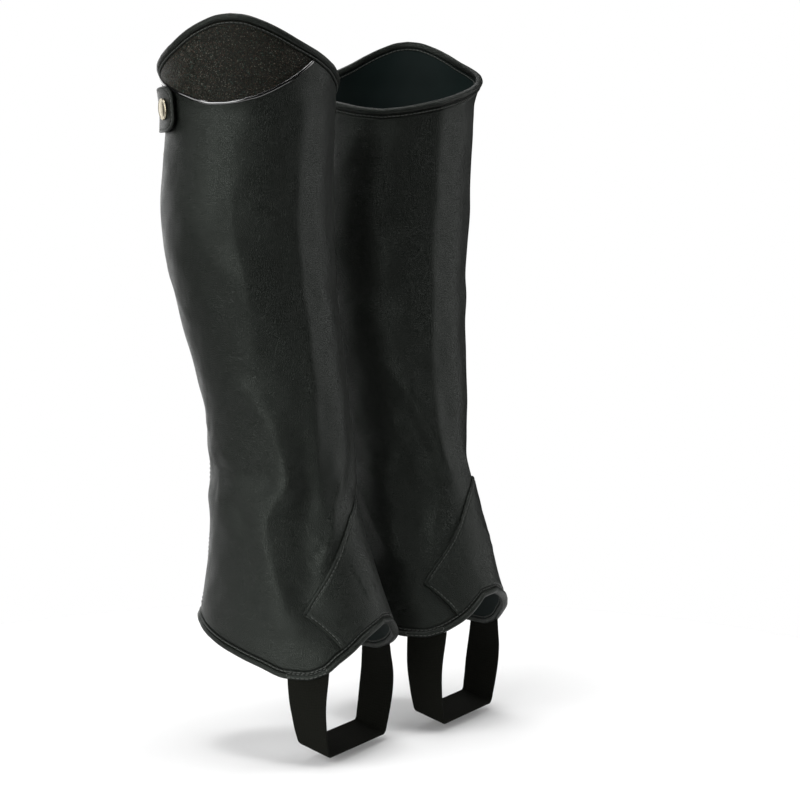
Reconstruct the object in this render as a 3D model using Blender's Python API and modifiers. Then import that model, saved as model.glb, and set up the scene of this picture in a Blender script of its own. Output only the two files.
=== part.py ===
"""A pair of black half chaps as they are worn: two hollow leather legs, open at the top and at the hem.

+X is the way the toes point, +Y is the wearer's left and +Z is up. The origin lies midway between the
two calves, HOLD_HEIGHT above the ground. Each leg has its own empty on the ground under the middle of the
ankle, and every piece of that leg is modelled in it. A point on a leg is given by an angle round the leg
and a height above the ground. Body angles start at the toes and material angles at the garment's own front
line, which is turned a little on the leg. Both grow towards the outer side of the leg.
"""

import math

import bmesh
import bpy
from mathutils import Matrix, Vector

HOLD_HEIGHT = 0.350
LEG_SPACING = 0.1194
LEFT_AHEAD = 0.0237

# One row for each leg. outer is the sign of Y on its outer side, turn is the garment's turn in degrees,
# ride is how much higher than the right one it sits, and peak is the height of its top edge at the side.
LEG_COLUMNS = ("name", "outer", "ahead", "turn", "ride", "peak")
LEG_ROWS = (
    ("right", -1.0, 0.0, -20.0, 0.0, 0.4868),
    ("left", 1.0, LEFT_AHEAD, 20.0, 0.004, 0.4930),
)

# One row for each level of the leather's outer face. forward and outward are the middle of the section.
LEVEL_COLUMNS = ("height", "forward", "outward", "half_depth", "half_width")
LEVEL_ROWS = (
    (0.0500, 0.0222, 0.0012, 0.0765, 0.0545),
    (0.0700, 0.0205, 0.0016, 0.0742, 0.0525),
    (0.0950, 0.0156, 0.0022, 0.0678, 0.0488),
    (0.1200, 0.0143, 0.0040, 0.0609, 0.0451),
    (0.1500, 0.0107, 0.0054, 0.0544, 0.0415),
    (0.1750, 0.0072, 0.0052, 0.0505, 0.0394),
    (0.2000, 0.0060, 0.0047, 0.0496, 0.0397),
    (0.2250, 0.0048, 0.0056, 0.0496, 0.0413),
    (0.2500, 0.0010, 0.0070, 0.0512, 0.0443),
    (0.2800, -0.0035, 0.0101, 0.0530, 0.0479),
    (0.3100, -0.0069, 0.0146, 0.0544, 0.0512),
    (0.3400, -0.0101, 0.0172, 0.0566, 0.0551),
    (0.3650, -0.0099, 0.0194, 0.0568, 0.0568),
    (0.3950, -0.0081, 0.0203, 0.0557, 0.0557),
    (0.4200, -0.0060, 0.0208, 0.0552, 0.0552),
    (0.4400, -0.0060, 0.0206, 0.0570, 0.0570),
    (0.4580, -0.0060, 0.0206, 0.0590, 0.0590),
    (0.4950, -0.0060, 0.0210, 0.0593, 0.0593),
)

# The hem's lower edge: body angle away from the toes, and the height on the outer and on the inner side.
HEM_COLUMNS = ("angle", "outer_side", "inner_side")
HEM_ROWS = (
    (0, 0.0905, 0.0905),
    (15, 0.0862, 0.0890),
    (25, 0.0820, 0.0835),
    (35, 0.0758, 0.0770),
    (45, 0.0690, 0.0712),
    (55, 0.0610, 0.0660),
    (65, 0.0577, 0.0630),
    (76, 0.0583, 0.0632),
    (90, 0.0640, 0.0670),
    (105, 0.0697, 0.0715),
    (120, 0.0750, 0.0758),
    (137, 0.0808, 0.0805),
    (155, 0.0862, 0.0850),
    (180, 0.0880, 0.0880),
)

# The top edge: material angle away from the outer side, and its share of the rise from TOP_LOW to the peak.
TOP_CENTRE = 89.0
TOP_LOW = 0.4335
TOP_ROWS = (
    (0, 1.000),
    (8, 0.985),
    (20, 0.915),
    (32, 0.815),
    (45, 0.695),
    (60, 0.585),
    (75, 0.480),
    (90, 0.370),
    (107, 0.270),
    (125, 0.175),
    (145, 0.090),
    (165, 0.025),
    (180, 0.000),
)

# The piping under the inlay: material angle, and the drop of its middle below the top binding.
PIPING_ROWS = (
    (35, 0.0018),
    (50, 0.0197),
    (65, 0.0357),
    (80, 0.0470),
    (95, 0.0500),
    (112, 0.0420),
    (130, 0.0265),
    (148, 0.0136),
    (165, 0.0018),
)
PIPING_RADIUS = 0.0012
PIPING_PROUD = 0.0003

# The ankle overlay: material angle away from its tip, and the height of its upper and of its lower edge.
# The lower edge runs along the hem until OVERLAY_HEM_ANGLE.
OVERLAY_UPPER_ROWS = (
    (0, 0.1700),
    (10, 0.1656),
    (21, 0.1607),
    (33, 0.1526),
    (48.6, 0.1375),
    (61, 0.1245),
    (72, 0.1123),
    (80.5, 0.1010),
)
OVERLAY_LOWER_ROWS = ((62, 0.0760), (66.2, 0.0838), (72.8, 0.0925), (80.5, 0.0992))
OVERLAY_HEM_ANGLE = 62.0
OVERLAY_SIDE_ANGLE = 80.5

# Each fold is a soft ridge or, where rise is negative, a soft trough, along points of body angle and height.
FOLD_COLUMNS = ("rise", "half_width", "points")
FOLD_ROWS = (
    (0.0012, 0.0070, ((18, 0.430), (23, 0.360), (23, 0.300), (28, 0.245), (33, 0.205), (29, 0.172))),
    (0.0012, 0.0070, ((-27, 0.430), (-28, 0.360), (-31, 0.290), (-35, 0.245), (-33, 0.210), (-29, 0.182))),
    (-0.0012, 0.0110, ((68, 0.362), (50, 0.338), (24, 0.314))),
    (0.0013, 0.0100, ((64, 0.322), (67, 0.290), (73, 0.264))),
    (0.0026, 0.0120, ((80, 0.243), (68, 0.226), (61, 0.204), (57, 0.186))),
    (0.0026, 0.0120, ((63, 0.178), (78, 0.163), (82, 0.146), (78, 0.122), (71, 0.094))),
    (-0.0032, 0.0150, ((47, 0.171), (49, 0.150), (59, 0.128))),
    (-0.0020, 0.0110, ((140, 0.191), (104, 0.187), (76, 0.186))),
    (0.0016, 0.0090, ((148, 0.171), (118, 0.160), (102, 0.150))),
    (0.0012, 0.0100, ((150, 0.204), (116, 0.202))),
    (0.0022, 0.0120, ((-60, 0.242), (-45, 0.218), (-34, 0.196), (-24, 0.178))),
    (-0.0030, 0.0150, ((-58, 0.190), (-50, 0.166), (-58, 0.140))),
    (0.0022, 0.0120, ((-92, 0.176), (-84, 0.150), (-76, 0.116))),
    (-0.0018, 0.0110, ((-140, 0.186), (-108, 0.192), (-84, 0.190))),
    (0.0015, 0.0100, ((-150, 0.166), (-122, 0.158))),
    (-0.0012, 0.0120, ((-62, 0.352), (-90, 0.330))),
    (0.0013, 0.0110, ((178, 0.214), (-166, 0.224))),
)
FOLD_RADIUS = 0.052

SEAM_GAP = 0.0003
LEATHER_THICKNESS = 0.0014
LINING_DEPTH = 0.0019
LINING_THICKNESS = 0.0008
LINING_TOP_LINES = 2
ZIP_CENTRE = 190.0
ZIP_HALF_GAP = 4.5
ZIP_STEP = 0.60
ZIP_DEPTH = 0.0002
ZIP_END_INSET = 0.0010
ZIP_THICKNESS = 0.0022

TOP_BINDING_HEIGHT = 0.0066
HEM_BINDING_HEIGHT = 0.0056
TOP_BINDING_OUT = 0.0018
HEM_BINDING_OUT = 0.0008
BINDING_IN = -0.0034
BINDING_ROUND = 0.5

OVERLAY_OUT = 0.0017
OVERLAY_THICKNESS = 0.0010
OVERLAY_LINES = 7
INLAY_DEPTH = 0.0001
INLAY_THICKNESS = 0.0013
INLAY_INSET = 3.0
INLAY_LINES = 4

# The snap tab, from its free end to its sewn end: material angle, the heights of its lower and upper edge,
# and how far its outer face stands off the leather.
TAB_COLUMNS = ("angle", "low", "high", "out")
TAB_ROWS = (
    (133, 0.4132, 0.4437, 0.0041),
    (150, 0.4135, 0.4437, 0.0041),
    (167, 0.4142, 0.4435, 0.0041),
    (185, 0.4158, 0.4398, 0.0027),
    (206, 0.4170, 0.4362, 0.0026),
)
TAB_CORNER = 0.0110
TAB_TIP_SHARE = 0.35
TAB_THICKNESS = 0.0022
CAP_ANGLE = 146.0
CAP_HEIGHT = 0.4290
CAP_RADIUS = 0.0070
CAP_STEPS = 14
CAP_GAP = 0.0006

# The strap's centre line down one side: share of the way down from the hem, how much of the hem's own
# curve it still follows, distance outward from the middle of the foot, distance ahead of the ankle, width.
STRAP_COLUMNS = ("down", "hem_share", "outward", "forward", "width")
STRAP_ROWS = (
    (0.00, 1.00, 0.0480, 0.0538, 0.0264),
    (0.13, 0.75, 0.0480, 0.0536, 0.0265),
    (0.28, 0.38, 0.0478, 0.0534, 0.0266),
    (0.44, 0.12, 0.0467, 0.0531, 0.0264),
    (0.60, 0.00, 0.0449, 0.0529, 0.0258),
    (0.75, 0.00, 0.0429, 0.0527, 0.0249),
    (0.88, 0.00, 0.0406, 0.0526, 0.0240),
    (0.97, 0.00, 0.0386, 0.0526, 0.0234),
    (1.00, 0.00, 0.0355, 0.0526, 0.0231),
    (1.00, 0.00, 0.0240, 0.0526, 0.0230),
    (1.00, 0.00, 0.0080, 0.0526, 0.0230),
)
STRAP_SOLE_HEIGHT = 0.0088
STRAP_SOLE_SLOPE = 0.317
STRAP_THICKNESS = 0.0016
STRAP_TUCK = -0.0013
STRAP_ACROSS = 4

SLIDER_HEIGHT = 0.4010
SLIDER_WIDTH = 0.0082
SLIDER_LENGTH = 0.0110
SLIDER_THICKNESS = 0.0022
SLIDER_PROUD = 0.0004
BAIL_REACH = 0.0034
BAIL_HALF_LENGTH = 0.0036
BAIL_RADIUS = 0.0006
PULL_AXIS_OUT = 0.0011
PULL_BAR_RADIUS = 0.0006
PULL_WIDTH = 0.0070
PULL_LENGTH = 0.0220
PULL_WINDOW = 0.0042
PULL_WINDOW_LENGTH = 0.0062
PULL_THICKNESS = 0.0012

WELD = 0.000001
LOOK_COLUMNS = ("colour", "roughness", "metallic")
LOOKS = {
    "leather": ((0.018, 0.020, 0.018), 0.45, 0.0),
    "glitter": ((0.030, 0.026, 0.024), 0.55, 0.0),
    "patent": ((0.010, 0.010, 0.010), 0.12, 0.0),
    "lining": ((0.016, 0.034, 0.038), 0.85, 0.0),
    "webbing": ((0.012, 0.012, 0.012), 0.90, 0.0),
    "zip_tape": ((0.015, 0.015, 0.015), 0.80, 0.0),
    "nickel": ((0.62, 0.58, 0.50), 0.28, 1.0),
}


def clear_scene():
    for item in list(bpy.data.objects):
        bpy.data.objects.remove(item, do_unlink=True)


def named(columns, rows):
    return [dict(zip(columns, row)) for row in rows]


def curve_through(points):
    """A smooth function through (x, y) points that never overshoots them and is level past both ends."""
    xs = [float(point[0]) for point in points]
    ys = [float(point[1]) for point in points]
    slopes = [(ys[i + 1] - ys[i]) / (xs[i + 1] - xs[i]) for i in range(len(xs) - 1)]
    tangents = [slopes[0]]
    for before, after in zip(slopes, slopes[1:]):
        tangents.append(2 * before * after / (before + after) if before * after > 0 else 0.0)
    tangents.append(slopes[-1])

    def at(x):
        x = min(max(x, xs[0]), xs[-1])
        i = max(k for k in range(len(slopes)) if xs[k] <= x)
        step = xs[i + 1] - xs[i]
        share = (x - xs[i]) / step
        rest = 1 - share
        start = ys[i] * (1 + 2 * share) + tangents[i] * step * share
        end = ys[i + 1] * (1 + 2 * rest) - tangents[i + 1] * step * rest
        return start * rest * rest + end * share * share

    return at


def column_curve(columns, rows, across, up):
    return curve_through([(row[columns.index(across)], row[columns.index(up)]) for row in rows])


LEVELS = {name: column_curve(LEVEL_COLUMNS, LEVEL_ROWS, "height", name) for name in LEVEL_COLUMNS[1:]}
HEM_SIDES = {name: column_curve(HEM_COLUMNS, HEM_ROWS, "angle", name) for name in HEM_COLUMNS[1:]}
TOP_SHARE = curve_through(TOP_ROWS)
PIPING_DROP = curve_through(PIPING_ROWS)
TAB_LINES = {name: column_curve(TAB_COLUMNS, TAB_ROWS, "angle", name) for name in TAB_COLUMNS[1:]}
OVERLAY_UPPER = curve_through(OVERLAY_UPPER_ROWS)
OVERLAY_LOWER = curve_through(OVERLAY_LOWER_ROWS)
FOLDS = named(FOLD_COLUMNS, FOLD_ROWS)


def wrapped(angle):
    """The same direction, between -180 and 180 degrees."""
    return (angle + 180.0) % 360.0 - 180.0


def fold_distance(angle, height, start, end):
    """How far a point of the leather lies from one straight stretch of a fold."""
    across = Vector((math.radians(wrapped(angle - start[0])) * FOLD_RADIUS, height - start[1]))
    along = Vector((math.radians(wrapped(end[0] - start[0])) * FOLD_RADIUS, end[1] - start[1]))
    share = min(max(across.dot(along) / along.length_squared, 0.0), 1.0)
    return (across - along * share).length


def fold_rise(angle, height):
    total = 0.0
    for fold in FOLDS:
        pairs = zip(fold["points"], fold["points"][1:])
        distance = min(fold_distance(angle, height, start, end) for start, end in pairs)
        total += fold["rise"] * math.exp(-((distance / fold["half_width"]) ** 2))
    return total


def section_point(leg, angle, height):
    """A point of the smooth leg under the folds, in the leg's own frame."""
    level = height - leg["ride"]
    turn = math.radians(angle)
    forward = LEVELS["forward"](level) + LEVELS["half_depth"](level) * math.cos(turn)
    outward = LEVELS["outward"](level) + LEVELS["half_width"](level) * math.sin(turn)
    return Vector((forward, leg["outer"] * outward, height))


def outward_normal(leg, angle, height):
    """The smooth leg's unit normal, away from the hollow."""
    small_turn = 1.0
    small_rise = 0.002
    around = section_point(leg, angle + small_turn, height) - section_point(leg, angle - small_turn, height)
    upward = section_point(leg, angle, height + small_rise) - section_point(leg, angle, height - small_rise)
    return (around.cross(upward) * leg["outer"]).normalized()


def leather_point(leg, material_angle, height, out=0.0):
    """A point at this distance outside the leather's outer face, folds included."""
    angle = material_angle + leg["turn"]
    rise = fold_rise(angle, height - leg["ride"]) + out
    return section_point(leg, angle, height) + outward_normal(leg, angle, height) * rise


def hem_height(leg, material_angle):
    angle = wrapped(material_angle + leg["turn"])
    side = "outer_side" if angle > 0 else "inner_side"
    return HEM_SIDES[side](abs(angle)) + leg["ride"]


def top_height(leg, material_angle):
    share = TOP_SHARE(abs(wrapped(material_angle - TOP_CENTRE)))
    low = TOP_LOW + leg["ride"] / 2
    return low + (leg["peak"] - low) * share


def steepness(leg, line, material_angle):
    """What a distance square to a sloping edge grows by when it is measured straight up."""
    step = 2.0
    rise = line(leg, material_angle + step) - line(leg, material_angle - step)
    run = 2 * math.radians(step) * LEVELS["half_depth"](line(leg, material_angle))
    return math.hypot(1.0, rise / run)


def hem_edge(leg, material_angle, distance):
    """The height that lies this distance above the hem's lower edge, square to it."""
    return hem_height(leg, material_angle) + distance * steepness(leg, hem_height, material_angle)


def top_edge(leg, material_angle, distance):
    """The height that lies this distance below the top edge, square to it."""
    return top_height(leg, material_angle) - distance * steepness(leg, top_height, material_angle)


def piping_height(leg, material_angle):
    return top_edge(leg, material_angle, TOP_BINDING_HEIGHT) - PIPING_DROP(material_angle)


def piping_edge(leg, material_angle, distance):
    """The height that lies this distance below the piping's middle, or above it where it is negative."""
    return piping_height(leg, material_angle) - distance * steepness(leg, piping_height, material_angle)


def spaced(start, end, steps):
    return [start + (end - start) * i / steps for i in range(steps + 1)]


def joined_stretches(*stretches):
    """The angles of several stretches end to end, each shared end once."""
    angles = list(stretches[0])
    for stretch in stretches[1:]:
        angles += stretch[1:]
    return angles


PIPING_START = PIPING_ROWS[0][0]
PIPING_END = PIPING_ROWS[-1][0]
INLAY_START = PIPING_START + INLAY_INSET
INLAY_END = PIPING_END - INLAY_INSET
WALL_ANGLES = joined_stretches(
    spaced(ZIP_CENTRE + ZIP_HALF_GAP - 360.0, -OVERLAY_SIDE_ANGLE, 8),
    spaced(-OVERLAY_SIDE_ANGLE, -OVERLAY_HEM_ANGLE, 2),
    spaced(-OVERLAY_HEM_ANGLE, 0.0, 6),
    spaced(0.0, PIPING_START, 3),
    [PIPING_START, INLAY_START],
    spaced(INLAY_START, OVERLAY_HEM_ANGLE, 3),
    spaced(OVERLAY_HEM_ANGLE, OVERLAY_SIDE_ANGLE, 2),
    spaced(OVERLAY_SIDE_ANGLE, INLAY_END, 7),
    [INLAY_END, PIPING_END],
    spaced(PIPING_END, ZIP_CENTRE - ZIP_HALF_GAP, 2),
)
# The wall's rows lie closer together over the ankle, where its creases are, and under the top edge.
WALL_SHARES = joined_stretches(spaced(0.0, 0.46, 10), spaced(0.46, 0.87, 4), spaced(0.87, 1.0, 2))


def piece_object(leg, name, mesh, look):
    """Links a mesh as one piece of a leg, with its material, in the leg's own frame."""
    item = bpy.data.objects.new(name + "_" + leg["name"], mesh)
    PAIR.objects.link(item)
    item.parent = leg["ground"]
    mesh.materials.append(MATERIALS[look])
    return item


def mapped_grid(leg, name, columns, rows, place, look):
    """An open sheet whose point in this column and row stands at place(column, row)."""
    sheet = bmesh.new()
    bmesh.ops.create_grid(sheet, x_segments=columns, y_segments=rows, size=0.5)
    for vert in sheet.verts:
        column = round((vert.co.x + 0.5) * columns)
        row = round((vert.co.y + 0.5) * rows)
        vert.co = place(column, row)
    if leg["outer"] < 0:
        bmesh.ops.reverse_faces(sheet, faces=sheet.faces)
    mesh = bpy.data.meshes.new(name)
    sheet.to_mesh(mesh)
    sheet.free()
    mesh.shade_smooth()
    return piece_object(leg, name, mesh, look)


def thicken(item, thickness, offset=-1.0):
    """Gives a sheet its thickness: all inwards at offset -1, half each way at 0."""
    wall = item.modifiers.new("thickness", "SOLIDIFY")
    wall.thickness = thickness
    wall.offset = offset
    wall.use_even_offset = True
    wall.use_quality_normals = True


def rail(leg, name, steps, sides, place, look):
    """A closed bar: place(step, side) gives each corner of each section, and both ends are filled."""
    bar = bmesh.new()
    bmesh.ops.create_grid(bar, x_segments=steps, y_segments=sides, size=0.5)
    for vert in bar.verts:
        step = round((vert.co.x + 0.5) * steps)
        side = round((vert.co.y + 0.5) * sides) % sides
        vert.co = place(step, side)
    bmesh.ops.remove_doubles(bar, verts=bar.verts, dist=WELD)
    ends = [edge for edge in bar.edges if edge.is_boundary]
    bmesh.ops.holes_fill(bar, edges=ends, sides=sides)
    bmesh.ops.recalc_face_normals(bar, faces=bar.faces)
    mesh = bpy.data.meshes.new(name)
    bar.to_mesh(mesh)
    bar.free()
    mesh.shade_smooth()
    mesh.set_sharp_from_angle(angle=math.radians(50))
    return piece_object(leg, name, mesh, look)


def panel_top(leg, material_angle):
    """The leather panel ends under the top binding or, where the inlay is, under the piping."""
    height = top_edge(leg, material_angle, TOP_BINDING_HEIGHT + SEAM_GAP)
    if PIPING_START <= material_angle <= PIPING_END:
        height = min(height, piping_edge(leg, material_angle, PIPING_RADIUS + SEAM_GAP))
    return height


def lining_top(leg, material_angle):
    return top_edge(leg, material_angle, TOP_BINDING_HEIGHT + SEAM_GAP)


def wall_height(leg, material_angle, share, top):
    low = hem_edge(leg, material_angle, HEM_BINDING_HEIGHT + SEAM_GAP)
    return low + (top(leg, material_angle) - low) * share


def build_panel(leg):
    """The main leather panel, one piece from zip edge to zip edge round the front."""

    def place(column, row):
        angle = WALL_ANGLES[column]
        return leather_point(leg, angle, wall_height(leg, angle, WALL_SHARES[row], panel_top))

    panel = mapped_grid(leg, "leather_panel", len(WALL_ANGLES) - 1, len(WALL_SHARES) - 1, place, "leather")
    thicken(panel, LEATHER_THICKNESS)


def build_lining(leg):
    """The lining, cut like the panel but up to the top binding all round."""

    last = len(WALL_SHARES) - 1

    def place(column, row):
        angle = WALL_ANGLES[column]
        if row < last:
            height = wall_height(leg, angle, WALL_SHARES[row], panel_top)
        else:
            top = lining_top(leg, angle)
            start = panel_top(leg, angle)
            if not PIPING_START < angle < PIPING_END:
                start += (wall_height(leg, angle, WALL_SHARES[last - 1], panel_top) - start) / 2
            height = start + (top - start) * (row - last) / LINING_TOP_LINES
        return leather_point(leg, angle, height, -LINING_DEPTH)

    lining = mapped_grid(leg, "lining", len(WALL_ANGLES) - 1, last + LINING_TOP_LINES, place, "lining")
    thicken(lining, LINING_THICKNESS)


def panel_line_point(leg, angle, height, out):
    """A point over the straight stretch of the panel's own column, so that a piece laid on it stays clear."""
    heights = [wall_height(leg, angle, share, panel_top) for share in WALL_SHARES]
    row = max(i for i in range(len(heights) - 1) if heights[i] <= height or i == 0)
    share = (height - heights[row]) / (heights[row + 1] - heights[row])
    low = leather_point(leg, angle, heights[row], out)
    high = leather_point(leg, angle, heights[row + 1], out)
    return low.lerp(high, share)


def overlay_span(leg, angle):
    """The overlay's lower and upper height at one of the panel's columns."""
    away = abs(angle)
    upper = OVERLAY_UPPER(away) + leg["ride"]
    lower = hem_edge(leg, angle, HEM_BINDING_HEIGHT + SEAM_GAP)
    if away > OVERLAY_HEM_ANGLE:
        lower = OVERLAY_LOWER(away) + leg["ride"]
    return lower, upper


def build_overlay(leg):
    """The kite of leather over the ankle's front, made from the panel's points and moved out."""
    angles = [angle for angle in WALL_ANGLES if abs(angle) <= OVERLAY_SIDE_ANGLE]

    def place(column, row):
        angle = angles[column]
        lower, upper = overlay_span(leg, angle)
        height = lower + (upper - lower) * row / OVERLAY_LINES
        return panel_line_point(leg, angle, height, OVERLAY_OUT)

    overlay = mapped_grid(leg, "ankle_overlay", len(angles) - 1, OVERLAY_LINES, place, "leather")
    thicken(overlay, OVERLAY_THICKNESS)


def binding_section(height, proud, side):
    """One of eight corners of the rolled strip: distance from the garment's edge, and outward offset."""
    middle = (proud + BINDING_IN) / 2
    half_thickness = (proud - BINDING_IN) / 2
    turn = math.radians(45 * side + 22.5)
    flat = math.cos(math.radians(22.5))
    across = math.copysign(abs(math.cos(turn) / flat) ** BINDING_ROUND, math.cos(turn))
    upward = math.copysign(abs(math.sin(turn) / flat) ** BINDING_ROUND, math.sin(turn))
    return height / 2 * (1 - upward), middle + half_thickness * across


def build_binding(leg, name, height, proud, edge):
    """A rolled strip along the top edge or the hem, from one side of the zip to the other."""

    def place(step, side):
        distance, out = binding_section(height, proud, side)
        angle = WALL_ANGLES[step]
        return leather_point(leg, angle, edge(leg, angle, distance), out)

    rail(leg, name, len(WALL_ANGLES) - 1, 8, place, "leather")


def build_inlay(leg):
    """The sparkling lens at the outer side, between the piping and the top binding."""
    angles = [angle for angle in WALL_ANGLES if INLAY_START <= angle <= INLAY_END]

    def place(column, row):
        angle = angles[column]
        lower = piping_edge(leg, angle, -PIPING_RADIUS - SEAM_GAP)
        upper = lining_top(leg, angle)
        return leather_point(leg, angle, lower + (upper - lower) * row / INLAY_LINES, -INLAY_DEPTH)

    inlay = mapped_grid(leg, "side_inlay", len(angles) - 1, INLAY_LINES, place, "glitter")
    thicken(inlay, INLAY_THICKNESS)


def tube(leg, name, points, radius, look):
    """A round cord along points of the leg's frame."""
    route = bpy.data.curves.new(name, "CURVE")
    route.dimensions = "3D"
    route.bevel_depth = radius
    route.bevel_resolution = 2
    route.use_fill_caps = True
    line = route.splines.new("POLY")
    line.points.add(len(points) - 1)
    for spot, point in zip(line.points, points):
        spot.co = (*point, 1.0)
    return piece_object(leg, name, route, look)


def build_piping(leg):
    """The glossy cord in the seam under the inlay."""
    angles = [angle for angle in WALL_ANGLES if PIPING_START <= angle <= PIPING_END]
    points = [leather_point(leg, angle, piping_height(leg, angle), PIPING_PROUD) for angle in angles]
    tube(leg, "piping", points, PIPING_RADIUS, "patent")


def build_zip(leg):
    """The closed zip at the back, tape and teeth as one plain strip in the gap between the panel's edges."""
    half_width = ZIP_HALF_GAP - ZIP_STEP
    angles = spaced(ZIP_CENTRE - half_width, ZIP_CENTRE + half_width, 2)
    last = len(WALL_SHARES) + 1

    def place(column, row):
        angle = angles[column]
        if row == 0:
            height = hem_edge(leg, angle, ZIP_END_INSET)
        elif row == last:
            height = top_edge(leg, angle, ZIP_END_INSET)
        else:
            height = wall_height(leg, angle, WALL_SHARES[row - 1], panel_top)
        return leather_point(leg, angle, height, -ZIP_DEPTH)

    strip = mapped_grid(leg, "zip", len(angles) - 1, last, place, "zip_tape")
    thicken(strip, ZIP_THICKNESS)


def build_strap(leg):
    """The elastic strap from the outer hem, down the boot, under its arch and up to the inner hem."""
    down = named(STRAP_COLUMNS, STRAP_ROWS)
    route = [(1.0, row) for row in down] + [(-1.0, row) for row in reversed(down)]

    def place(column, row):
        side, station = route[row]
        across = column / STRAP_ACROSS - 0.5
        forward = station["forward"] + across * station["width"]
        start = hem_at(leg, forward, side)
        sole = STRAP_SOLE_HEIGHT - STRAP_SOLE_SLOPE * across * station["width"]
        height = start.z + (sole - start.z) * station["down"]
        outward = leg["outer"] * side * station["outward"]
        outward += (start.y - outward) * station["hem_share"]
        return Vector((forward, outward, height))

    strap = mapped_grid(leg, "stirrup_strap", STRAP_ACROSS, len(route) - 1, place, "webbing")
    thicken(strap, STRAP_THICKNESS, 0.0)


def hem_at(leg, forward, side):
    """The spot under the hem this far ahead of the ankle: side is 1 on the outer and -1 on the inner side."""
    level = 0.060
    share = (forward - LEVELS["forward"](level)) / LEVELS["half_depth"](level)
    material_angle = side * math.degrees(math.acos(share)) - leg["turn"]
    height = hem_edge(leg, material_angle, -SEAM_GAP - STRAP_THICKNESS / 2)
    return leather_point(leg, material_angle, height, STRAP_TUCK)


def rounded_share(distance, corner):
    """The share of full height that a rounded end has at this distance from its tip."""
    if distance >= corner:
        return 1.0
    return TAB_TIP_SHARE + (1 - TAB_TIP_SHARE) * math.sqrt(1 - (1 - distance / corner) ** 2)


def build_snap_tab(leg):
    """The leather tab that closes over the top of the zip, with a rounded free end."""
    free_end = TAB_ROWS[0][0]
    sewn_end = TAB_ROWS[-1][0]
    radius = LEVELS["half_depth"](CAP_HEIGHT)
    corner_angle = math.degrees(TAB_CORNER / radius)
    rounded = [free_end + corner_angle * (1 - math.cos(math.radians(turn))) for turn in spaced(0.0, 90.0, 5)]
    angles = joined_stretches(rounded, spaced(rounded[-1], sewn_end, 9))
    rows = 4

    def place(column, row):
        angle = angles[column]
        low, high, out = (TAB_LINES[name](angle) for name in TAB_COLUMNS[1:])
        from_tip = math.radians(angle - free_end) * radius
        reach = (high - low) / 2 * rounded_share(from_tip, TAB_CORNER)
        height = (low + high) / 2 + reach * (2 * row / rows - 1) + leg["ride"]
        return panel_line_point(leg, angle, height, out)

    tab = mapped_grid(leg, "snap_tab", len(angles) - 1, rows, place, "leather")
    thicken(tab, TAB_THICKNESS)


def outward_frame(leg, material_angle, height, out, upright):
    """A frame on the leather, Z out of the leg and Y up it, or straight up where upright is true."""
    out_axis = outward_normal(leg, material_angle + leg["turn"], height)
    if upright:
        out_axis = Vector((out_axis.x, out_axis.y, 0.0)).normalized()
    side_axis = Vector((0.0, 0.0, 1.0)).cross(out_axis).normalized()
    up_axis = out_axis.cross(side_axis)
    turn = Matrix((side_axis, up_axis, out_axis)).transposed().to_4x4()
    return Matrix.Translation(panel_line_point(leg, material_angle, height, out)) @ turn


def build_snap_cap(leg):
    """The press stud's domed cap: a turned profile, stood on the tab."""
    profile = (
        (0.0, 0.0021),
        (0.0030, 0.0020),
        (0.0048, 0.0015),
        (0.0056, 0.0011),
        (0.0064, 0.0013),
        (CAP_RADIUS, 0.0007),
        (CAP_RADIUS, 0.0),
        (0.0, 0.0),
    )
    mesh = bpy.data.meshes.new("snap_cap")
    edges = [(i, i + 1) for i in range(len(profile) - 1)]
    mesh.from_pydata([(radius, 0.0, height) for radius, height in profile], edges, [])
    cap = piece_object(leg, "snap_cap", mesh, "nickel")
    turned = cap.modifiers.new("turned", "SCREW")
    turned.steps = CAP_STEPS
    turned.render_steps = CAP_STEPS
    turned.use_merge_vertices = True
    turned.merge_threshold = 0.00001
    turned.use_smooth_shade = True
    height = CAP_HEIGHT + leg["ride"]
    out = TAB_LINES["out"](CAP_ANGLE) + CAP_GAP
    cap.matrix_local = outward_frame(leg, CAP_ANGLE, height, out, upright=False)


def box_mesh(name, size, bevel):
    """A box with rounded edges, round its own middle."""
    shape = bmesh.new()
    bmesh.ops.create_cube(shape, size=1.0, matrix=Matrix.Diagonal((*size, 1.0)))
    bmesh.ops.bevel(shape, geom=shape.edges, offset=bevel, segments=1, affect="EDGES")
    mesh = bpy.data.meshes.new(name)
    shape.to_mesh(mesh)
    shape.free()
    return mesh


def solid_mesh(item):
    """The item's evaluated mesh, its loose ends welded."""
    bpy.context.view_layer.update()
    mesh = bpy.data.meshes.new_from_object(item.evaluated_get(bpy.context.evaluated_depsgraph_get()))
    solid = bmesh.new()
    solid.from_mesh(mesh)
    bmesh.ops.remove_doubles(solid, verts=solid.verts, dist=WELD)
    bmesh.ops.recalc_face_normals(solid, faces=solid.faces)
    solid.to_mesh(mesh)
    solid.free()
    return mesh


def as_cutter(item):
    """Moves a helper to the cutters' collection, out of the render."""
    for collection in list(item.users_collection):
        collection.objects.unlink(item)
    CUTTERS.objects.link(item)
    item.hide_render = True
    item.display_type = "WIRE"
    item.hide_set(True)


def combine(item, other, operation):
    """Joins or cuts the item by another mesh, which then leaves the render."""
    step = item.modifiers.new(operation.lower(), "BOOLEAN")
    step.operation = operation
    step.solver = "EXACT"
    step.object = other
    as_cutter(other)


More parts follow.
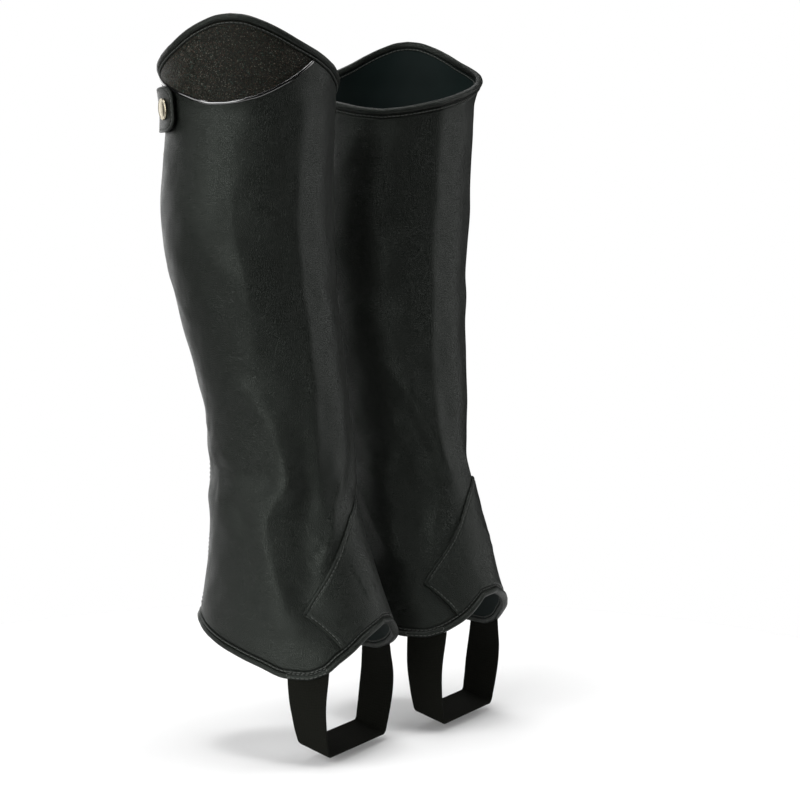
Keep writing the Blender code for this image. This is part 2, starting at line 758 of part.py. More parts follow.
def build_slider(leg):
    """The zip's slider: a small block with an arched bail that holds the pull tab."""
    size = (SLIDER_WIDTH, SLIDER_LENGTH, SLIDER_THICKNESS)
    slider = piece_object(leg, "zip_slider", box_mesh("zip_slider", size, 0.0009), "nickel")
    base = SLIDER_PROUD + SLIDER_THICKNESS / 2
    height = SLIDER_HEIGHT + leg["ride"]
    slider.matrix_local = outward_frame(leg, ZIP_CENTRE, height, base, upright=True)
    foot = SLIDER_THICKNESS / 2 - BAIL_RADIUS
    arch = []
    for turn in spaced(0.0, 180.0, 8):
        along = BAIL_HALF_LENGTH * math.cos(math.radians(turn))
        arch.append(Vector((0.0, along, foot + BAIL_REACH * math.sin(math.radians(turn)))))
    bail = tube(leg, "bail", arch, BAIL_RADIUS, "nickel")
    bail.matrix_local = slider.matrix_local
    mesh = solid_mesh(bail)
    bail_block = piece_object(leg, "bail_block", mesh, "nickel")
    bail_block.matrix_local = slider.matrix_local
    bpy.data.objects.remove(bail, do_unlink=True)
    combine(slider, bail_block, "UNION")


def build_pull(leg):
    """The pull tab, hanging from the bail: its origin is on the hinge's axis."""
    height = SLIDER_HEIGHT + leg["ride"]
    out = SLIDER_PROUD + SLIDER_THICKNESS + PULL_AXIS_OUT
    hinge = outward_frame(leg, ZIP_CENTRE, height, out, upright=True)
    plate_size = (PULL_WIDTH, PULL_LENGTH, PULL_THICKNESS)
    mesh = box_mesh("zip_pull", plate_size, 0.0005)
    middle = PULL_LENGTH / 2 - PULL_BAR_RADIUS
    mesh.transform(Matrix.Translation((0.0, -middle, 0.0)))
    pull = piece_object(leg, "zip_pull", mesh, "nickel")
    pull.matrix_local = hinge
    window_size = (PULL_WINDOW, PULL_WINDOW_LENGTH, PULL_THICKNESS * 3)
    window_mesh = box_mesh("zip_pull_window", window_size, 0.0004)
    below_bar = PULL_BAR_RADIUS + PULL_WINDOW_LENGTH / 2
    window_mesh.transform(Matrix.Translation((0.0, -below_bar, 0.0)))
    window = piece_object(leg, "zip_pull_window", window_mesh, "nickel")
    window.matrix_local = hinge
    combine(pull, window, "DIFFERENCE")


def look_material(name):
    look = dict(zip(LOOK_COLUMNS, LOOKS[name]))
    material = bpy.data.materials.new(name)
    material.use_nodes = True
    shader = material.node_tree.nodes["Principled BSDF"]
    shader.inputs["Base Color"].default_value = (*look["colour"], 1.0)
    shader.inputs["Roughness"].default_value = look["roughness"]
    shader.inputs["Metallic"].default_value = look["metallic"]
    material.diffuse_color = (*look["colour"], 1.0)
    return material


def new_collection(name):
    collection = bpy.data.collections.new(name)
    bpy.context.scene.collection.children.link(collection)
    return collection


def build_leg(leg):
    ground = bpy.data.objects.new("ground_" + leg["name"], None)
    ground.location = (leg["ahead"], leg["outer"] * LEG_SPACING / 2, -HOLD_HEIGHT)
    PAIR.objects.link(ground)
    leg["ground"] = ground
    build_panel(leg)
    build_lining(leg)
    build_overlay(leg)
    build_inlay(leg)
    build_piping(leg)
    build_binding(leg, "top_binding", TOP_BINDING_HEIGHT, TOP_BINDING_OUT, top_edge)
    build_binding(leg, "hem_binding", HEM_BINDING_HEIGHT, HEM_BINDING_OUT, hem_edge)
    build_zip(leg)
    build_slider(leg)
    build_pull(leg)
    build_snap_tab(leg)
    build_snap_cap(leg)
    build_strap(leg)


clear_scene()
PAIR = new_collection("half_chaps")
CUTTERS = new_collection("cutters")
MATERIALS = {name: look_material(name) for name in LOOKS}
for leg_row in named(LEG_COLUMNS, LEG_ROWS):
    build_leg(leg_row)
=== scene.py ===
"""The looks of a pair of black half chaps: fine leather shells, seams, stitching and finishes.

Everything is in the part's own frame: +X is the way the toes point, +Y the wearer's left and +Z up. Lengths
are in metres, apart from those of the tables that say millimetres. A point on a leg is given by an angle
round the leg and a height above the ground. Body angles start at the toes and all other angles at the
garment's own front line. Both grow towards the leg's outer side.
"""

import math

import bmesh
import bpy
import numpy as np
from mathutils import Matrix, Vector


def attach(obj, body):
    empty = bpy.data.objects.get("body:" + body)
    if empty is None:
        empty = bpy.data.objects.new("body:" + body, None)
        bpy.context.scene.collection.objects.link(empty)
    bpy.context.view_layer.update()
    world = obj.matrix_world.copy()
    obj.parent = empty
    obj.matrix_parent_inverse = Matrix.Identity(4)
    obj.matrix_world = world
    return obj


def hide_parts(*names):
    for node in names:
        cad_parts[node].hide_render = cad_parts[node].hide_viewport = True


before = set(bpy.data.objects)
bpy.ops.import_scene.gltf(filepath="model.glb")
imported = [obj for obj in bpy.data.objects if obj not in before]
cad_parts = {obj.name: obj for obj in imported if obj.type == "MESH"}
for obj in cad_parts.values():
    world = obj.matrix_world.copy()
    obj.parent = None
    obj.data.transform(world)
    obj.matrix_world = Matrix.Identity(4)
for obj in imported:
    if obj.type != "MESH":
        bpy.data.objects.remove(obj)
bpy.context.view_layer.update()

HOLD_HEIGHT = 0.35
LEG_SPACING = 0.1194
LEFT_AHEAD = 0.0237

# One row for each leg. outer is the sign of Y on its outer side, turn is the garment's turn in degrees,
# ride is how much higher than the right one it sits, peak is the height of its top edge at the side, phase
# shifts the small unevenness, so that the two legs differ, and flare is how far the mouth's front stands out.
LEG_COLUMNS = ("name", "outer", "ahead", "turn", "ride", "peak", "phase", "flare")
LEG_ROWS = (
    ("right", -1.0, 0.0, -20.0, 0.0, 0.4868, 0.0, 0.0008),
    ("left", 1.0, LEFT_AHEAD, 20.0, 0.004, 0.493, 2.1, 0.0032),
)
FLARE_ANGLE = 30.0
FLARE_SPREAD = 34.0
FLARE_START = 0.436
FLARE_HEIGHT = 0.026

# The lengths of this table and of the others before LEATHER_THICKNESS are in millimetres. The leg's sections
# and edges are those of the solids.
LEVEL_COLUMNS = ("height", "forward", "outward", "half_depth", "half_width")
LEVEL_ROWS = (
    (50, 22.2, 1.2, 76.5, 54.5), (70, 20.5, 1.6, 74.2, 52.5), (95, 15.6, 2.2, 67.8, 48.8),
    (120, 14.3, 4, 60.9, 45.1), (150, 10.7, 5.4, 54.4, 41.5), (175, 7.2, 5.2, 50.5, 39.4),
    (200, 6, 4.7, 49.6, 39.7), (225, 4.8, 5.6, 49.6, 41.3), (250, 1, 7, 51.2, 44.3),
    (280, -3.5, 10.1, 53, 47.9), (310, -6.9, 14.6, 54.4, 51.2), (340, -10.1, 17.2, 56.6, 55.1),
    (365, -9.9, 19.4, 56.8, 56.8), (395, -8.1, 20.3, 55.7, 55.7), (420, -6, 20.8, 55.2, 55.2),
    (440, -6, 20.6, 57, 57), (458, -6, 20.6, 59, 59), (495, -6, 21, 59.3, 59.3),
)

# The hem's height: body angle away from the toes, and the height there on each side of the leg.
HEM_COLUMNS = ("angle", "outer_side", "inner_side")
HEM_ROWS = (
    (0, 90.5, 90.5), (15, 86.2, 89), (25, 82, 83.5), (35, 75.8, 77), (45, 69, 71.2), (55, 61, 66),
    (65, 57.7, 63), (76, 58.3, 63.2), (90, 64, 67), (105, 69.7, 71.5), (120, 75, 75.8), (137, 80.8, 80.5),
    (155, 86.2, 85), (180, 88, 88),
)

# The top edge: angle away from the outer side, and its share of the rise from TOP_LOW to the peak.
TOP_CENTRE = 89.0
TOP_LOW = 0.4335
TOP_ROWS = (
    (0, 1.0), (8, 0.985), (20, 0.915), (32, 0.815), (45, 0.695), (60, 0.585), (75, 0.48), (90, 0.37),
    (107, 0.27), (125, 0.175), (145, 0.09), (165, 0.025), (180, 0.0),
)

# The piping: angle, and the drop of its middle below the top binding.
PIPING_ROWS = (
    (35, 1.8), (50, 19.7), (65, 35.7), (80, 47), (95, 50), (112, 42), (130, 26.5), (148, 13.6), (165, 1.8),
)
PIPING_START = PIPING_ROWS[0][0]
PIPING_END = PIPING_ROWS[-1][0]
PIPING_SOFTNESS = 9.0
PIPING_RADIUS = 0.0012
PIPING_PROUD = 0.0003

# The ankle overlay: angle away from its tip, and the height of its upper and of its lower edge.
OVERLAY_UPPER_ROWS = (
    (0, 170), (10, 165.6), (21, 160.7), (33, 152.6), (48.6, 137.5), (61, 124.5), (72, 112.3), (80.5, 101),
)
OVERLAY_LOWER_ROWS = (
    (62, 76), (66.2, 83.8), (72.8, 92.5), (80.5, 99.2),
)
OVERLAY_HEM_ANGLE = 62.0
OVERLAY_SIDE_ANGLE = 80.5
OVERLAY_OUT = 0.0017
OVERLAY_THICKNESS = 0.001

# Each fold is a soft ridge or, where its rise is negative, a soft trough: its rise, its half width and the
# points of its line, as body angle and height.
FOLD_ROWS = (
    (1.2, 7, ((18, 430), (23, 360), (23, 300), (28, 245), (33, 205), (29, 172))),
    (1.2, 7, ((-27, 430), (-28, 360), (-31, 290), (-35, 245), (-33, 210), (-29, 182))),
    (-1.2, 11, ((68, 362), (50, 338), (24, 314))), (1.3, 10, ((64, 322), (67, 290), (73, 264))),
    (2.6, 12, ((80, 243), (68, 226), (61, 204), (57, 186))),
    (2.6, 12, ((63, 178), (78, 163), (82, 146), (78, 122), (71, 94))),
    (-3.4, 13, ((41, 182), (45, 168), (49, 150), (53, 130), (59, 110))),
    (-2, 11, ((140, 191), (104, 187), (76, 186))), (1.6, 9, ((148, 171), (118, 160), (102, 150))),
    (1.2, 10, ((150, 204), (116, 202))), (2.2, 12, ((-60, 242), (-45, 218), (-34, 196), (-24, 178))),
    (-3, 15, ((-58, 190), (-50, 166), (-58, 140))), (2.2, 12, ((-92, 176), (-84, 150), (-76, 116))),
    (-1.8, 11, ((-140, 186), (-108, 192), (-84, 190))), (1.5, 10, ((-150, 166), (-122, 158))),
    (-1.2, 12, ((-62, 352), (-90, 330))), (1.3, 11, ((178, 214), (-166, 224))),
)
FOLD_RADIUS = 0.052

# Creases with a crisp crest, written in the same way. They fade out towards their ends.
CREASE_ROWS = (
    (1.5, 6.5, (
        (75, 240), (66, 220), (61, 203), (58, 191), (57, 184), (61, 177.5), (68, 172.5), (74, 165),
        (78, 155), (79, 145), (77, 132), (74, 119), (69, 106), (64, 95), (60, 84),
    )),
    (1.5, 4, (
        (-4, 198), (7, 183), (14, 173.5), (21, 163.5),
        (26, 154.7), (33, 143.3), (41, 132.5), (48, 122.5),
    )),
    (1.6, 6, ((-112, 172), (-102, 155), (-92, 136), (-85, 125), (-76, 108))),
    (0.7, 2.8, ((17, 119.5), (9, 121.5), (0, 120.3))), (0.6, 2.6, ((15, 112.2), (7, 113.8), (-2, 112.8))),
    (0.6, 2.8, ((20, 127), (13, 129.2), (5, 128.5))),
    (0.7, 6, ((18, 440), (23, 360), (23, 300), (28, 245), (33, 205), (29, 172))),
    (0.7, 6, ((-27, 440), (-28, 360), (-31, 290), (-35, 245), (-33, 210), (-29, 182))),
    (1.4, 6.5, ((-62, 243), (-54, 235), (-44, 217), (-34, 196), (-28, 181), (-19, 167))),
    (0.9, 5, ((-28, 172), (-36, 160), (-46, 144), (-54, 128))),
    (0.7, 4, ((66, 392), (67, 353), (63, 312), (68, 286))), (-0.5, 5, ((132, 194), (106, 190), (84, 188))),
    (0.7, 4, ((130, 176), (112, 166), (98, 160))), (0.6, 3.5, ((36, 150), (44, 143), (50, 141))),
    (0.6, 3.5, ((38, 139), (46, 133), (52, 132))), (-0.6, 3.2, ((37, 144), (45, 138), (50, 136))),
    (-0.7, 4, ((-64, 228), (-50, 204), (-40, 184))), (0.6, 4, ((-74, 214), (-62, 196))),
    (-0.8, 4.2, ((-120, 178), (-98, 184), (-80, 178))), (0.6, 4, ((-38, 150), (-48, 142))),
    (0.6, 4.5, ((150, 330), (134, 306), (122, 290))), (-0.6, 5, ((-130, 320), (-104, 296))),
    (0.7, 4.5, ((164, 236), (150, 222), (132, 218))), (-0.7, 4.5, ((158, 186), (140, 178), (126, 179))),
    (0.6, 4.5, ((-170, 200), (-150, 192), (-132, 194))),
)
CREASE_FADE = 0.2
CREST_RADIUS = 0.0012

LEATHER_THICKNESS = 0.0013
LINING_DEPTH = 0.0019
LINING_THICKNESS = 0.0008
INLAY_DEPTH = 0.0001
INLAY_THICKNESS = 0.0012
ZIP_CENTRE = 190.0
ZIP_HALF_GAP = 4.5
ZIP_END_INSET = 0.001
TAPE_HALF_ANGLE = 5.9
TAPE_DEPTH = 0.0006
TAPE_EDGE_DEPTH = 0.00145
TAPE_THICKNESS = 0.0004

# The rolled bindings: their heights, and how far they stand out and reach in.
TOP_ROLL = 0.0066
HEM_ROLL = 0.0056
TOP_ROLL_OUT = 0.0018
HEM_ROLL_OUT = 0.0019
BINDING_IN = -0.0034
TUCK = 0.0018

# The tab, in millimetres: angle, its lower and upper height, and how far it stands out.
TAB_COLUMNS = ("angle", "low", "high", "out")
TAB_ROWS = (
    (133, 413.2, 443.7, 4.1), (150, 413.5, 443.7, 4.1), (167, 414.2, 443.5, 4.1), (185, 415.8, 439.8, 2.7),
    (206, 417, 436.2, 2.6),
)
TAB_CORNER = 0.011
TAB_TIP_SHARE = 0.35
TAB_THICKNESS = 0.0022
CAP_ANGLE = 146.0
CAP_HEIGHT = 0.429
CAP_GAP = 0.0006

# The strap from the hem to under the foot, in millimetres. down is its share of the way down to the sole, and
# hem_share tells how far it still follows the hem.
STRAP_COLUMNS = ("down", "hem_share", "outward", "forward", "width")
STRAP_ROWS = (
    (0.0, 1.0, 48, 53.8, 26.4), (0.13, 0.75, 48, 53.6, 26.5), (0.28, 0.38, 47.8, 53.4, 26.6),
    (0.44, 0.12, 46.7, 53.1, 26.4), (0.6, 0.0, 44.9, 52.9, 25.8), (0.75, 0.0, 42.9, 52.7, 24.9),
    (0.88, 0.0, 40.6, 52.6, 24), (0.97, 0.0, 38.6, 52.6, 23.4), (1.0, 0.0, 35.5, 52.6, 23.1),
    (1.0, 0.0, 24, 52.6, 23), (1.0, 0.0, 8, 52.6, 23),
)
SOLE_HEIGHT = 0.0088
SOLE_SLOPE = 0.317
STRAP_THICKNESS = 0.0016
STRAP_TUCK = -0.0013
STRAP_HEM_LEVEL = 0.06

STITCH_PITCH = 0.003
STITCH_LENGTH = 0.0026
STITCH_RADIUS = 0.00031
STITCH_SINK = 0.0004
# How far a stitch's middle line stands above the cloth, as a share of its radius.
STITCH_PROUD = 0.55
WELD_DISTANCE = 0.00001

CAMERA_PLACE = (0.72, -1.228, -0.0087)
CAMERA_TURN = (85.59, 0.0, 28.1)
CAMERA_LENS = 91.15
FLOOR_HEIGHT = -HOLD_HEIGHT
FLOOR_RADIUS = 0.5


def metres(millimetres):
    return round(millimetres / 1000, 7)


def in_metres(rows, plain=1):
    """Rows of a table with every column after the plain ones in metres."""
    return [(*row[:plain], *map(metres, row[plain:])) for row in rows]


def unit(vectors):
    return vectors / np.linalg.norm(vectors, axis=-1, keepdims=True)


def travelled(path):
    """How far along a path each of its points lies."""
    return np.concatenate(([0.0], np.cumsum(np.linalg.norm(np.diff(path, axis=0), axis=1))))


def ring_of(count, first, second):
    """Offsets in a ring of radius 1, from the first axis towards the second."""
    turns = np.linspace(0.0, 2 * math.pi, count + 1)[:-1, None]
    return np.cos(turns) * first[..., None, :] + np.sin(turns) * second[..., None, :]


def linked(name, data):
    item = bpy.data.objects.new(name, data)
    bpy.context.scene.collection.objects.link(item)
    return item


def curve_through(points):
    """A smooth function through (x, y) points, never overshooting and level past both ends."""
    xs, ys = np.array(points, float).T
    slopes = np.diff(ys) / np.diff(xs)
    products = slopes[:-1] * slopes[1:]
    sums = np.where(products > 0, slopes[:-1] + slopes[1:], 1.0)
    inner = np.where(products > 0, 2 * products / sums, 0.0)
    tangents = np.concatenate((slopes[:1], inner, slopes[-1:]))

    def at(x):
        x = np.clip(x, xs[0], xs[-1])
        i = np.clip(np.searchsorted(xs, x, side="right") - 1, 0, len(slopes) - 1)
        step = xs[i + 1] - xs[i]
        share = (x - xs[i]) / step
        rest = 1 - share
        start = ys[i] * (1 + 2 * share) + tangents[i] * step * share
        end = ys[i + 1] * (1 + 2 * rest) - tangents[i + 1] * step * rest
        return start * rest**2 + end * share**2

    return at


def column_curves(columns, rows):
    """One curve for each column after the first, against the first."""
    return {name: curve_through([(row[0], row[i + 1]) for row in rows]) for i, name in enumerate(columns[1:])}


LEVELS = column_curves(LEVEL_COLUMNS, in_metres(LEVEL_ROWS, 0))
HEM_SIDES = column_curves(HEM_COLUMNS, in_metres(HEM_ROWS))
TOP_SHARE = curve_through(TOP_ROWS)
PIPING_DROP = curve_through(in_metres(PIPING_ROWS))
TAB_LINES = column_curves(TAB_COLUMNS, in_metres(TAB_ROWS))
OVERLAY_UPPER = curve_through(in_metres(OVERLAY_UPPER_ROWS))
OVERLAY_LOWER = curve_through(in_metres(OVERLAY_LOWER_ROWS))
STRAP_TABLE = in_metres(STRAP_ROWS, 2)
STRAP_LINES = column_curves(("station",) + STRAP_COLUMNS, [(i, *row) for i, row in enumerate(STRAP_TABLE)])
STRAP_WIDTH = STRAP_TABLE[0][-1]
STRAP_FORWARD = STRAP_TABLE[0][3]
FOLDS, CREASES = [
    [(metres(rise), metres(half_width), in_metres(points)) for rise, half_width, points in rows]
    for rows in (FOLD_ROWS, CREASE_ROWS)
]


def wrapped(angle):
    """The same direction, between -180 and 180 degrees."""
    return (angle + 180.0) % 360.0 - 180.0


def bump_at(distance, half_width):
    return np.exp(-((distance / half_width) ** 2))


def crest_at(distance, half_width):
    """A ridge that falls away evenly on both sides of a narrow round crest."""
    return np.exp((CREST_RADIUS - np.hypot(distance, CREST_RADIUS)) / half_width)


def smooth_step(share):
    share = np.clip(share, 0.0, 1.0)
    return share * share * (3 - 2 * share)


def line_distance(angle, height, points):
    """How far points of the leather lie from a fold's line, and how far along it, from 0 to 1."""
    nearest = np.full(np.shape(angle), np.inf)
    along = np.zeros(np.shape(angle))
    count = len(points) - 1
    for i, (start, end) in enumerate(zip(points, points[1:])):
        across_x = np.radians(wrapped(angle - start[0])) * FOLD_RADIUS
        across_y = height - start[1]
        line_x = math.radians(wrapped(end[0] - start[0])) * FOLD_RADIUS
        line_y = end[1] - start[1]
        share = np.clip((across_x * line_x + across_y * line_y) / (line_x**2 + line_y**2), 0.0, 1.0)
        distance = np.hypot(across_x - line_x * share, across_y - line_y * share)
        along = np.where(distance < nearest, (i + share) / count, along)
        nearest = np.minimum(nearest, distance)
    return nearest, along


def fold_rise(angle, height):
    """The folds and the finer creases together, as a distance out of the smooth leg."""
    total = np.zeros(np.shape(angle))
    for rise, half_width, points in FOLDS:
        distance, _ = line_distance(angle, height, points)
        total += rise * bump_at(distance, half_width)
    for rise, half_width, points in CREASES:
        distance, along = line_distance(angle, height, points)
        fade = smooth_step(np.minimum(along, 1 - along) / CREASE_FADE)
        total += rise * fade * crest_at(distance, half_width)
    return total


# Soft unevenness of the leather, in metres: rise, waves round the leg, and waves for each metre of height.
WAVE_ROWS = ((0.00016, 5, 11.0), (0.00013, -7, 17.0), (0.0001, 11, -23.0), (0.00007, 17, 31.0))


def unevenness(leg, angle, height):
    total = 0.0
    for i, (rise, around, upward) in enumerate(WAVE_ROWS):
        phase = np.radians(angle) * around + 2 * math.pi * upward * height + i + leg["phase"]
        total = total + rise * np.sin(phase)
    return total


def section_point(leg, angle, height):
    """A point of the smooth leg under the folds."""
    level = height - leg["ride"]
    turn = np.radians(angle)
    forward = LEVELS["forward"](level) + LEVELS["half_depth"](level) * np.cos(turn)
    outward = LEVELS["outward"](level) + LEVELS["half_width"](level) * np.sin(turn)
    sideways = leg["outer"] * (LEG_SPACING / 2 + outward)
    return np.stack((leg["ahead"] + forward, sideways, height - HOLD_HEIGHT), axis=-1)


def outward_normal(leg, angle, height):
    """The smooth leg's unit normal, away from the hollow."""
    small_turn = 1.0
    small_rise = 0.002
    around = section_point(leg, angle + small_turn, height) - section_point(leg, angle - small_turn, height)
    upward = section_point(leg, angle, height + small_rise) - section_point(leg, angle, height - small_rise)
    return unit(np.cross(around, upward) * leg["outer"])


def leather_frame(leg, angle, height, out):
    """Points at this distance outside the leather's outer face, folds included, and their normals."""
    angle, height, out = np.broadcast_arrays(angle, height, out)
    body_angle = angle + leg["turn"]
    rise = fold_rise(body_angle, height - leg["ride"]) + unevenness(leg, body_angle, height) + out
    near_front = bump_at(wrapped(body_angle - FLARE_ANGLE), FLARE_SPREAD)
    rise = rise + leg["flare"] * near_front * smooth_step((height - FLARE_START) / FLARE_HEIGHT)
    normal = outward_normal(leg, body_angle, height)
    return section_point(leg, body_angle, height) + normal * rise[..., None], normal


def leather_point(leg, angle, height, out):
    return leather_frame(leg, angle, height, out)[0]


def hem_height(leg, angle):
    body_angle = wrapped(angle + leg["turn"])
    outer = HEM_SIDES["outer_side"](np.abs(body_angle))
    inner = HEM_SIDES["inner_side"](np.abs(body_angle))
    return np.where(body_angle > 0, outer, inner) + leg["ride"]


def top_height(leg, angle):
    low = TOP_LOW + leg["ride"] / 2
    return low + (leg["peak"] - low) * TOP_SHARE(np.abs(wrapped(angle - TOP_CENTRE)))


def steepness(leg, line, angle):
    """What a distance square to a sloping edge grows by when it is measured straight up."""
    step = 2.0
    rise = line(leg, angle + step) - line(leg, angle - step)
    run = 2 * math.radians(step) * LEVELS["half_depth"](line(leg, angle))
    return np.hypot(1.0, rise / run)


def square_rise(leg, line, angle, height):
    """How far a height lies above a sloping edge, square to it."""
    return (height - line(leg, angle)) / steepness(leg, line, angle)


def hem_edge(leg, angle, distance):
    """The height that lies this distance above the hem's lower edge, square to it."""
    return hem_height(leg, angle) + distance * steepness(leg, hem_height, angle)


def top_edge(leg, angle, distance):
    """The height that lies this distance below the top edge, square to it."""
    return top_height(leg, angle) - distance * steepness(leg, top_height, angle)


def piping_height(leg, angle):
    """The piping's middle, with its line softened over a few degrees, less near its two ends."""
    room = np.clip(np.minimum(angle - PIPING_START, PIPING_END - angle), 0.0, PIPING_SOFTNESS)
    drop = sum(PIPING_DROP(angle + share * room) for share in (-1.0, -0.5, 0.0, 0.5, 1.0)) / 5
    return top_edge(leg, angle, TOP_ROLL) - drop


def beside_inlay(angle):
    return (angle >= PIPING_START) & (angle <= PIPING_END)


def panel_top(leg, angle):
    """The leather panel runs up under the top binding or, where the inlay is, under the piping."""
    height = top_edge(leg, angle, TOP_ROLL - TUCK)
    return np.where(beside_inlay(angle), np.minimum(height, piping_height(leg, angle)), height)


def stretches(*spans):
    """Numbers along several spans of (start, end, steps), each shared end once."""
    parts = [np.linspace(start, end, steps + 1)[1:] for start, end, steps in spans]
    return np.concatenate([[spans[0][0]]] + parts)


def spanned(low, high, steps):
    """Evenly spread heights for a grid's rows, from a lower to an upper line."""
    return low + (high - low) * stretches((0.0, 1.0, steps))[:, None]


def grid_faces(rows, columns, ring=False):
    """Faces between the points of a grid. A ring also joins its last column to its first."""
    index = np.arange(rows * columns).reshape(rows, columns)
    after = np.roll(index, -1, axis=1)
    faces = np.stack((index[:-1], after[:-1], after[1:], index[1:]), axis=-1)
    if not ring:
        faces = faces[:, :-1]
    return faces.reshape(-1, 4).tolist()


def bar_faces(steps, sides):
    """Faces of a closed bar through rings of points, with its two ends filled."""
    first = list(range(sides))
    last = [(steps - 1) * sides + corner for corner in first]
    return grid_faces(steps, sides, ring=True) + [first[::-1], last]


def mesh_of(name, points, faces):
    mesh = bpy.data.meshes.new(name)
    mesh.from_pydata(np.reshape(points, (-1, 3)).tolist(), [], faces)
    mesh.shade_smooth()
    return mesh


def welded(mesh):
    """The mesh with doubled points merged and its faces turned outwards."""
    shape = bmesh.new()
    shape.from_mesh(mesh)
    bmesh.ops.remove_doubles(shape, verts=shape.verts, dist=WELD_DISTANCE)
    bmesh.ops.recalc_face_normals(shape, faces=shape.faces)
    shape.to_mesh(mesh)
    shape.free()
    mesh.shade_smooth()
    return mesh


def bar(name, sections):
    return welded(mesh_of(name, sections, bar_faces(*sections.shape[:2])))


def add_piece(leg, name, mesh, look, *nodes):
    """Links a mesh as one piece of a leg, on the pair's body, in place of CAD nodes."""
    item = linked(name + "_" + leg["name"], mesh)
    mesh.materials.append(LOOKS[look])
    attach(item, "pair")
    if nodes:
        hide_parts(*[node + "_" + leg["name"] for node in nodes])
    return item


def cloth_sheet(leg, name, points, look, thickness, *nodes):
    """A thin sheet over a grid of points, rows upwards and columns by growing angle."""
    order = 1 if leg["outer"] > 0 else -1
    faces = [face[::order] for face in grid_faces(*points.shape[:2])]
    item = add_piece(leg, name, mesh_of(name, points, faces), look, *nodes)
    wall = item.modifiers.new("thickness", "SOLIDIFY")
    wall.thickness = thickness
    wall.offset = -1.0
    wall.use_even_offset = True
    wall.use_quality_normals = True
    return item


# The leather panel

ZIP_NEAR = ZIP_CENTRE - ZIP_HALF_GAP
ZIP_FAR = ZIP_CENTRE + ZIP_HALF_GAP - 360.0
ZIP_EDGE_BAND = 8.0
PANEL_ANGLES = stretches(
    (ZIP_FAR, ZIP_FAR + ZIP_EDGE_BAND, 12),
    (ZIP_FAR + ZIP_EDGE_BAND, PIPING_START, 98),
    (PIPING_START, PIPING_END, 70),
    (PIPING_END, ZIP_NEAR - ZIP_EDGE_BAND, 6),
    (ZIP_NEAR - ZIP_EDGE_BAND, ZIP_NEAR, 12),
)
PANEL_LOW_BAND = 0.006
PANEL_TOP_BAND = 0.008
TURNED_EDGE = 0.00045
TURNED_SLOPE = 0.0012
SEAM_GROOVE = 0.0003
SEAM_HALF_WIDTH = 0.0006
PRESS_DEPTH = 0.0006
PRESS_WIDTH = 0.0007
ZIP_STITCH = 0.003
PIPING_SWELL = 0.006


def banded_heights(low, high, low_band, low_shares, middle_shares, high_band, high_shares):
    """Heights of a grid's rows: close together near both edges, at fixed distances from them."""
    first = low + low_band * low_shares[:, None]
    middle = low + low_band + (high - high_band - low - low_band) * middle_shares[1:, None]
    last = high - high_band + high_band * high_shares[1:, None]
    return np.concatenate((first, middle, last))


def binding_press(leg, angle, height):
    """How deep the cloth is pressed in right beside the sewn edges of the two bindings."""
    below = -square_rise(leg, top_height, angle, height) - TOP_ROLL
    above = square_rise(leg, hem_height, angle, height) - HEM_ROLL
    return PRESS_DEPTH * (bump_at(below, PRESS_WIDTH) + bump_at(above, PRESS_WIDTH))


def panel_relief(leg, angle, height):
    """How the panel's edges swell where they are turned over at the zip and under the piping."""
    radius = LEVELS["half_depth"](height)
    to_zip = np.minimum(np.radians(ZIP_NEAR - angle) * radius, np.radians(angle - ZIP_FAR) * radius)
    past_stitch = to_zip - ZIP_STITCH
    rise = TURNED_EDGE * (1 - smooth_step(past_stitch / TURNED_SLOPE))
    rise -= SEAM_GROOVE * bump_at(past_stitch, SEAM_HALF_WIDTH)
    drop = -square_rise(leg, piping_height, angle, height)
    rise += np.where(beside_inlay(angle), TURNED_EDGE * (1 - smooth_step(drop / PIPING_SWELL)), 0.0)
    return rise - binding_press(leg, angle, height)


def dress_panel(leg):
    """The main leather panel, one piece from zip edge to zip edge round the front."""
    angles = PANEL_ANGLES
    low = hem_edge(leg, angles, HEM_ROLL - TUCK)
    heights = banded_heights(
        low, panel_top(leg, angles), PANEL_LOW_BAND, stretches((0.0, 1.0, 15)),
        stretches((0.0, 0.56, 88), (0.56, 1.0, 44)), PANEL_TOP_BAND, stretches((0.0, 1.0, 22)),
    )
    points = leather_point(leg, angles, heights, panel_relief(leg, angles, heights))
    return cloth_sheet(leg, "leather", points, "leather", LEATHER_THICKNESS, "leather_panel")


def dress_lining(leg):
    """The smooth lining, cut like the panel but up to the top binding all round."""
    angles = stretches((ZIP_FAR, ZIP_NEAR, 110))
    low = hem_edge(leg, angles, HEM_ROLL - TUCK)
    high = top_edge(leg, angles, TOP_ROLL - TUCK)
    points = leather_point(leg, angles, spanned(low, high, 110), -LINING_DEPTH)
    lining = cloth_sheet(leg, "lining_cloth", points, "lining", LINING_THICKNESS, "lining")


# The ankle overlay

OVERLAY_BAND = 0.0065
OVERLAY_BAND_LIMIT = 0.45
OVERLAY_SHARES = np.array((0.0, 0.02, 0.05, 0.09, 0.14, 0.2, 0.28, 0.36, 0.44, 0.52, 0.6, 0.7, 0.84, 1.0))
OVERLAY_ROLL = 0.0012
OVERLAY_EDGE_OUT = 0.00012
OVERLAY_HEM_LAP = 0.0002
UPPER_STITCH = 0.0026
LOWER_STITCH = 0.002
OVERLAY_GROOVE = 0.0005


def edge_steepness(line, angle):
    step = 1.0
    away = np.clip(np.abs(angle), step, OVERLAY_SIDE_ANGLE - step)
    rise = line(away + step) - line(away - step)
    return np.hypot(1.0, rise / (2 * math.radians(step) * FOLD_RADIUS))


def overlay_edges(leg, angle):
    """The overlay's lower and upper height."""
    away = np.abs(angle)
    along_hem = hem_edge(leg, angle, HEM_ROLL - OVERLAY_HEM_LAP)
    lower = np.where(away > OVERLAY_HEM_ANGLE, OVERLAY_LOWER(away) + leg["ride"], along_hem)
    return lower, OVERLAY_UPPER(away) + leg["ride"]


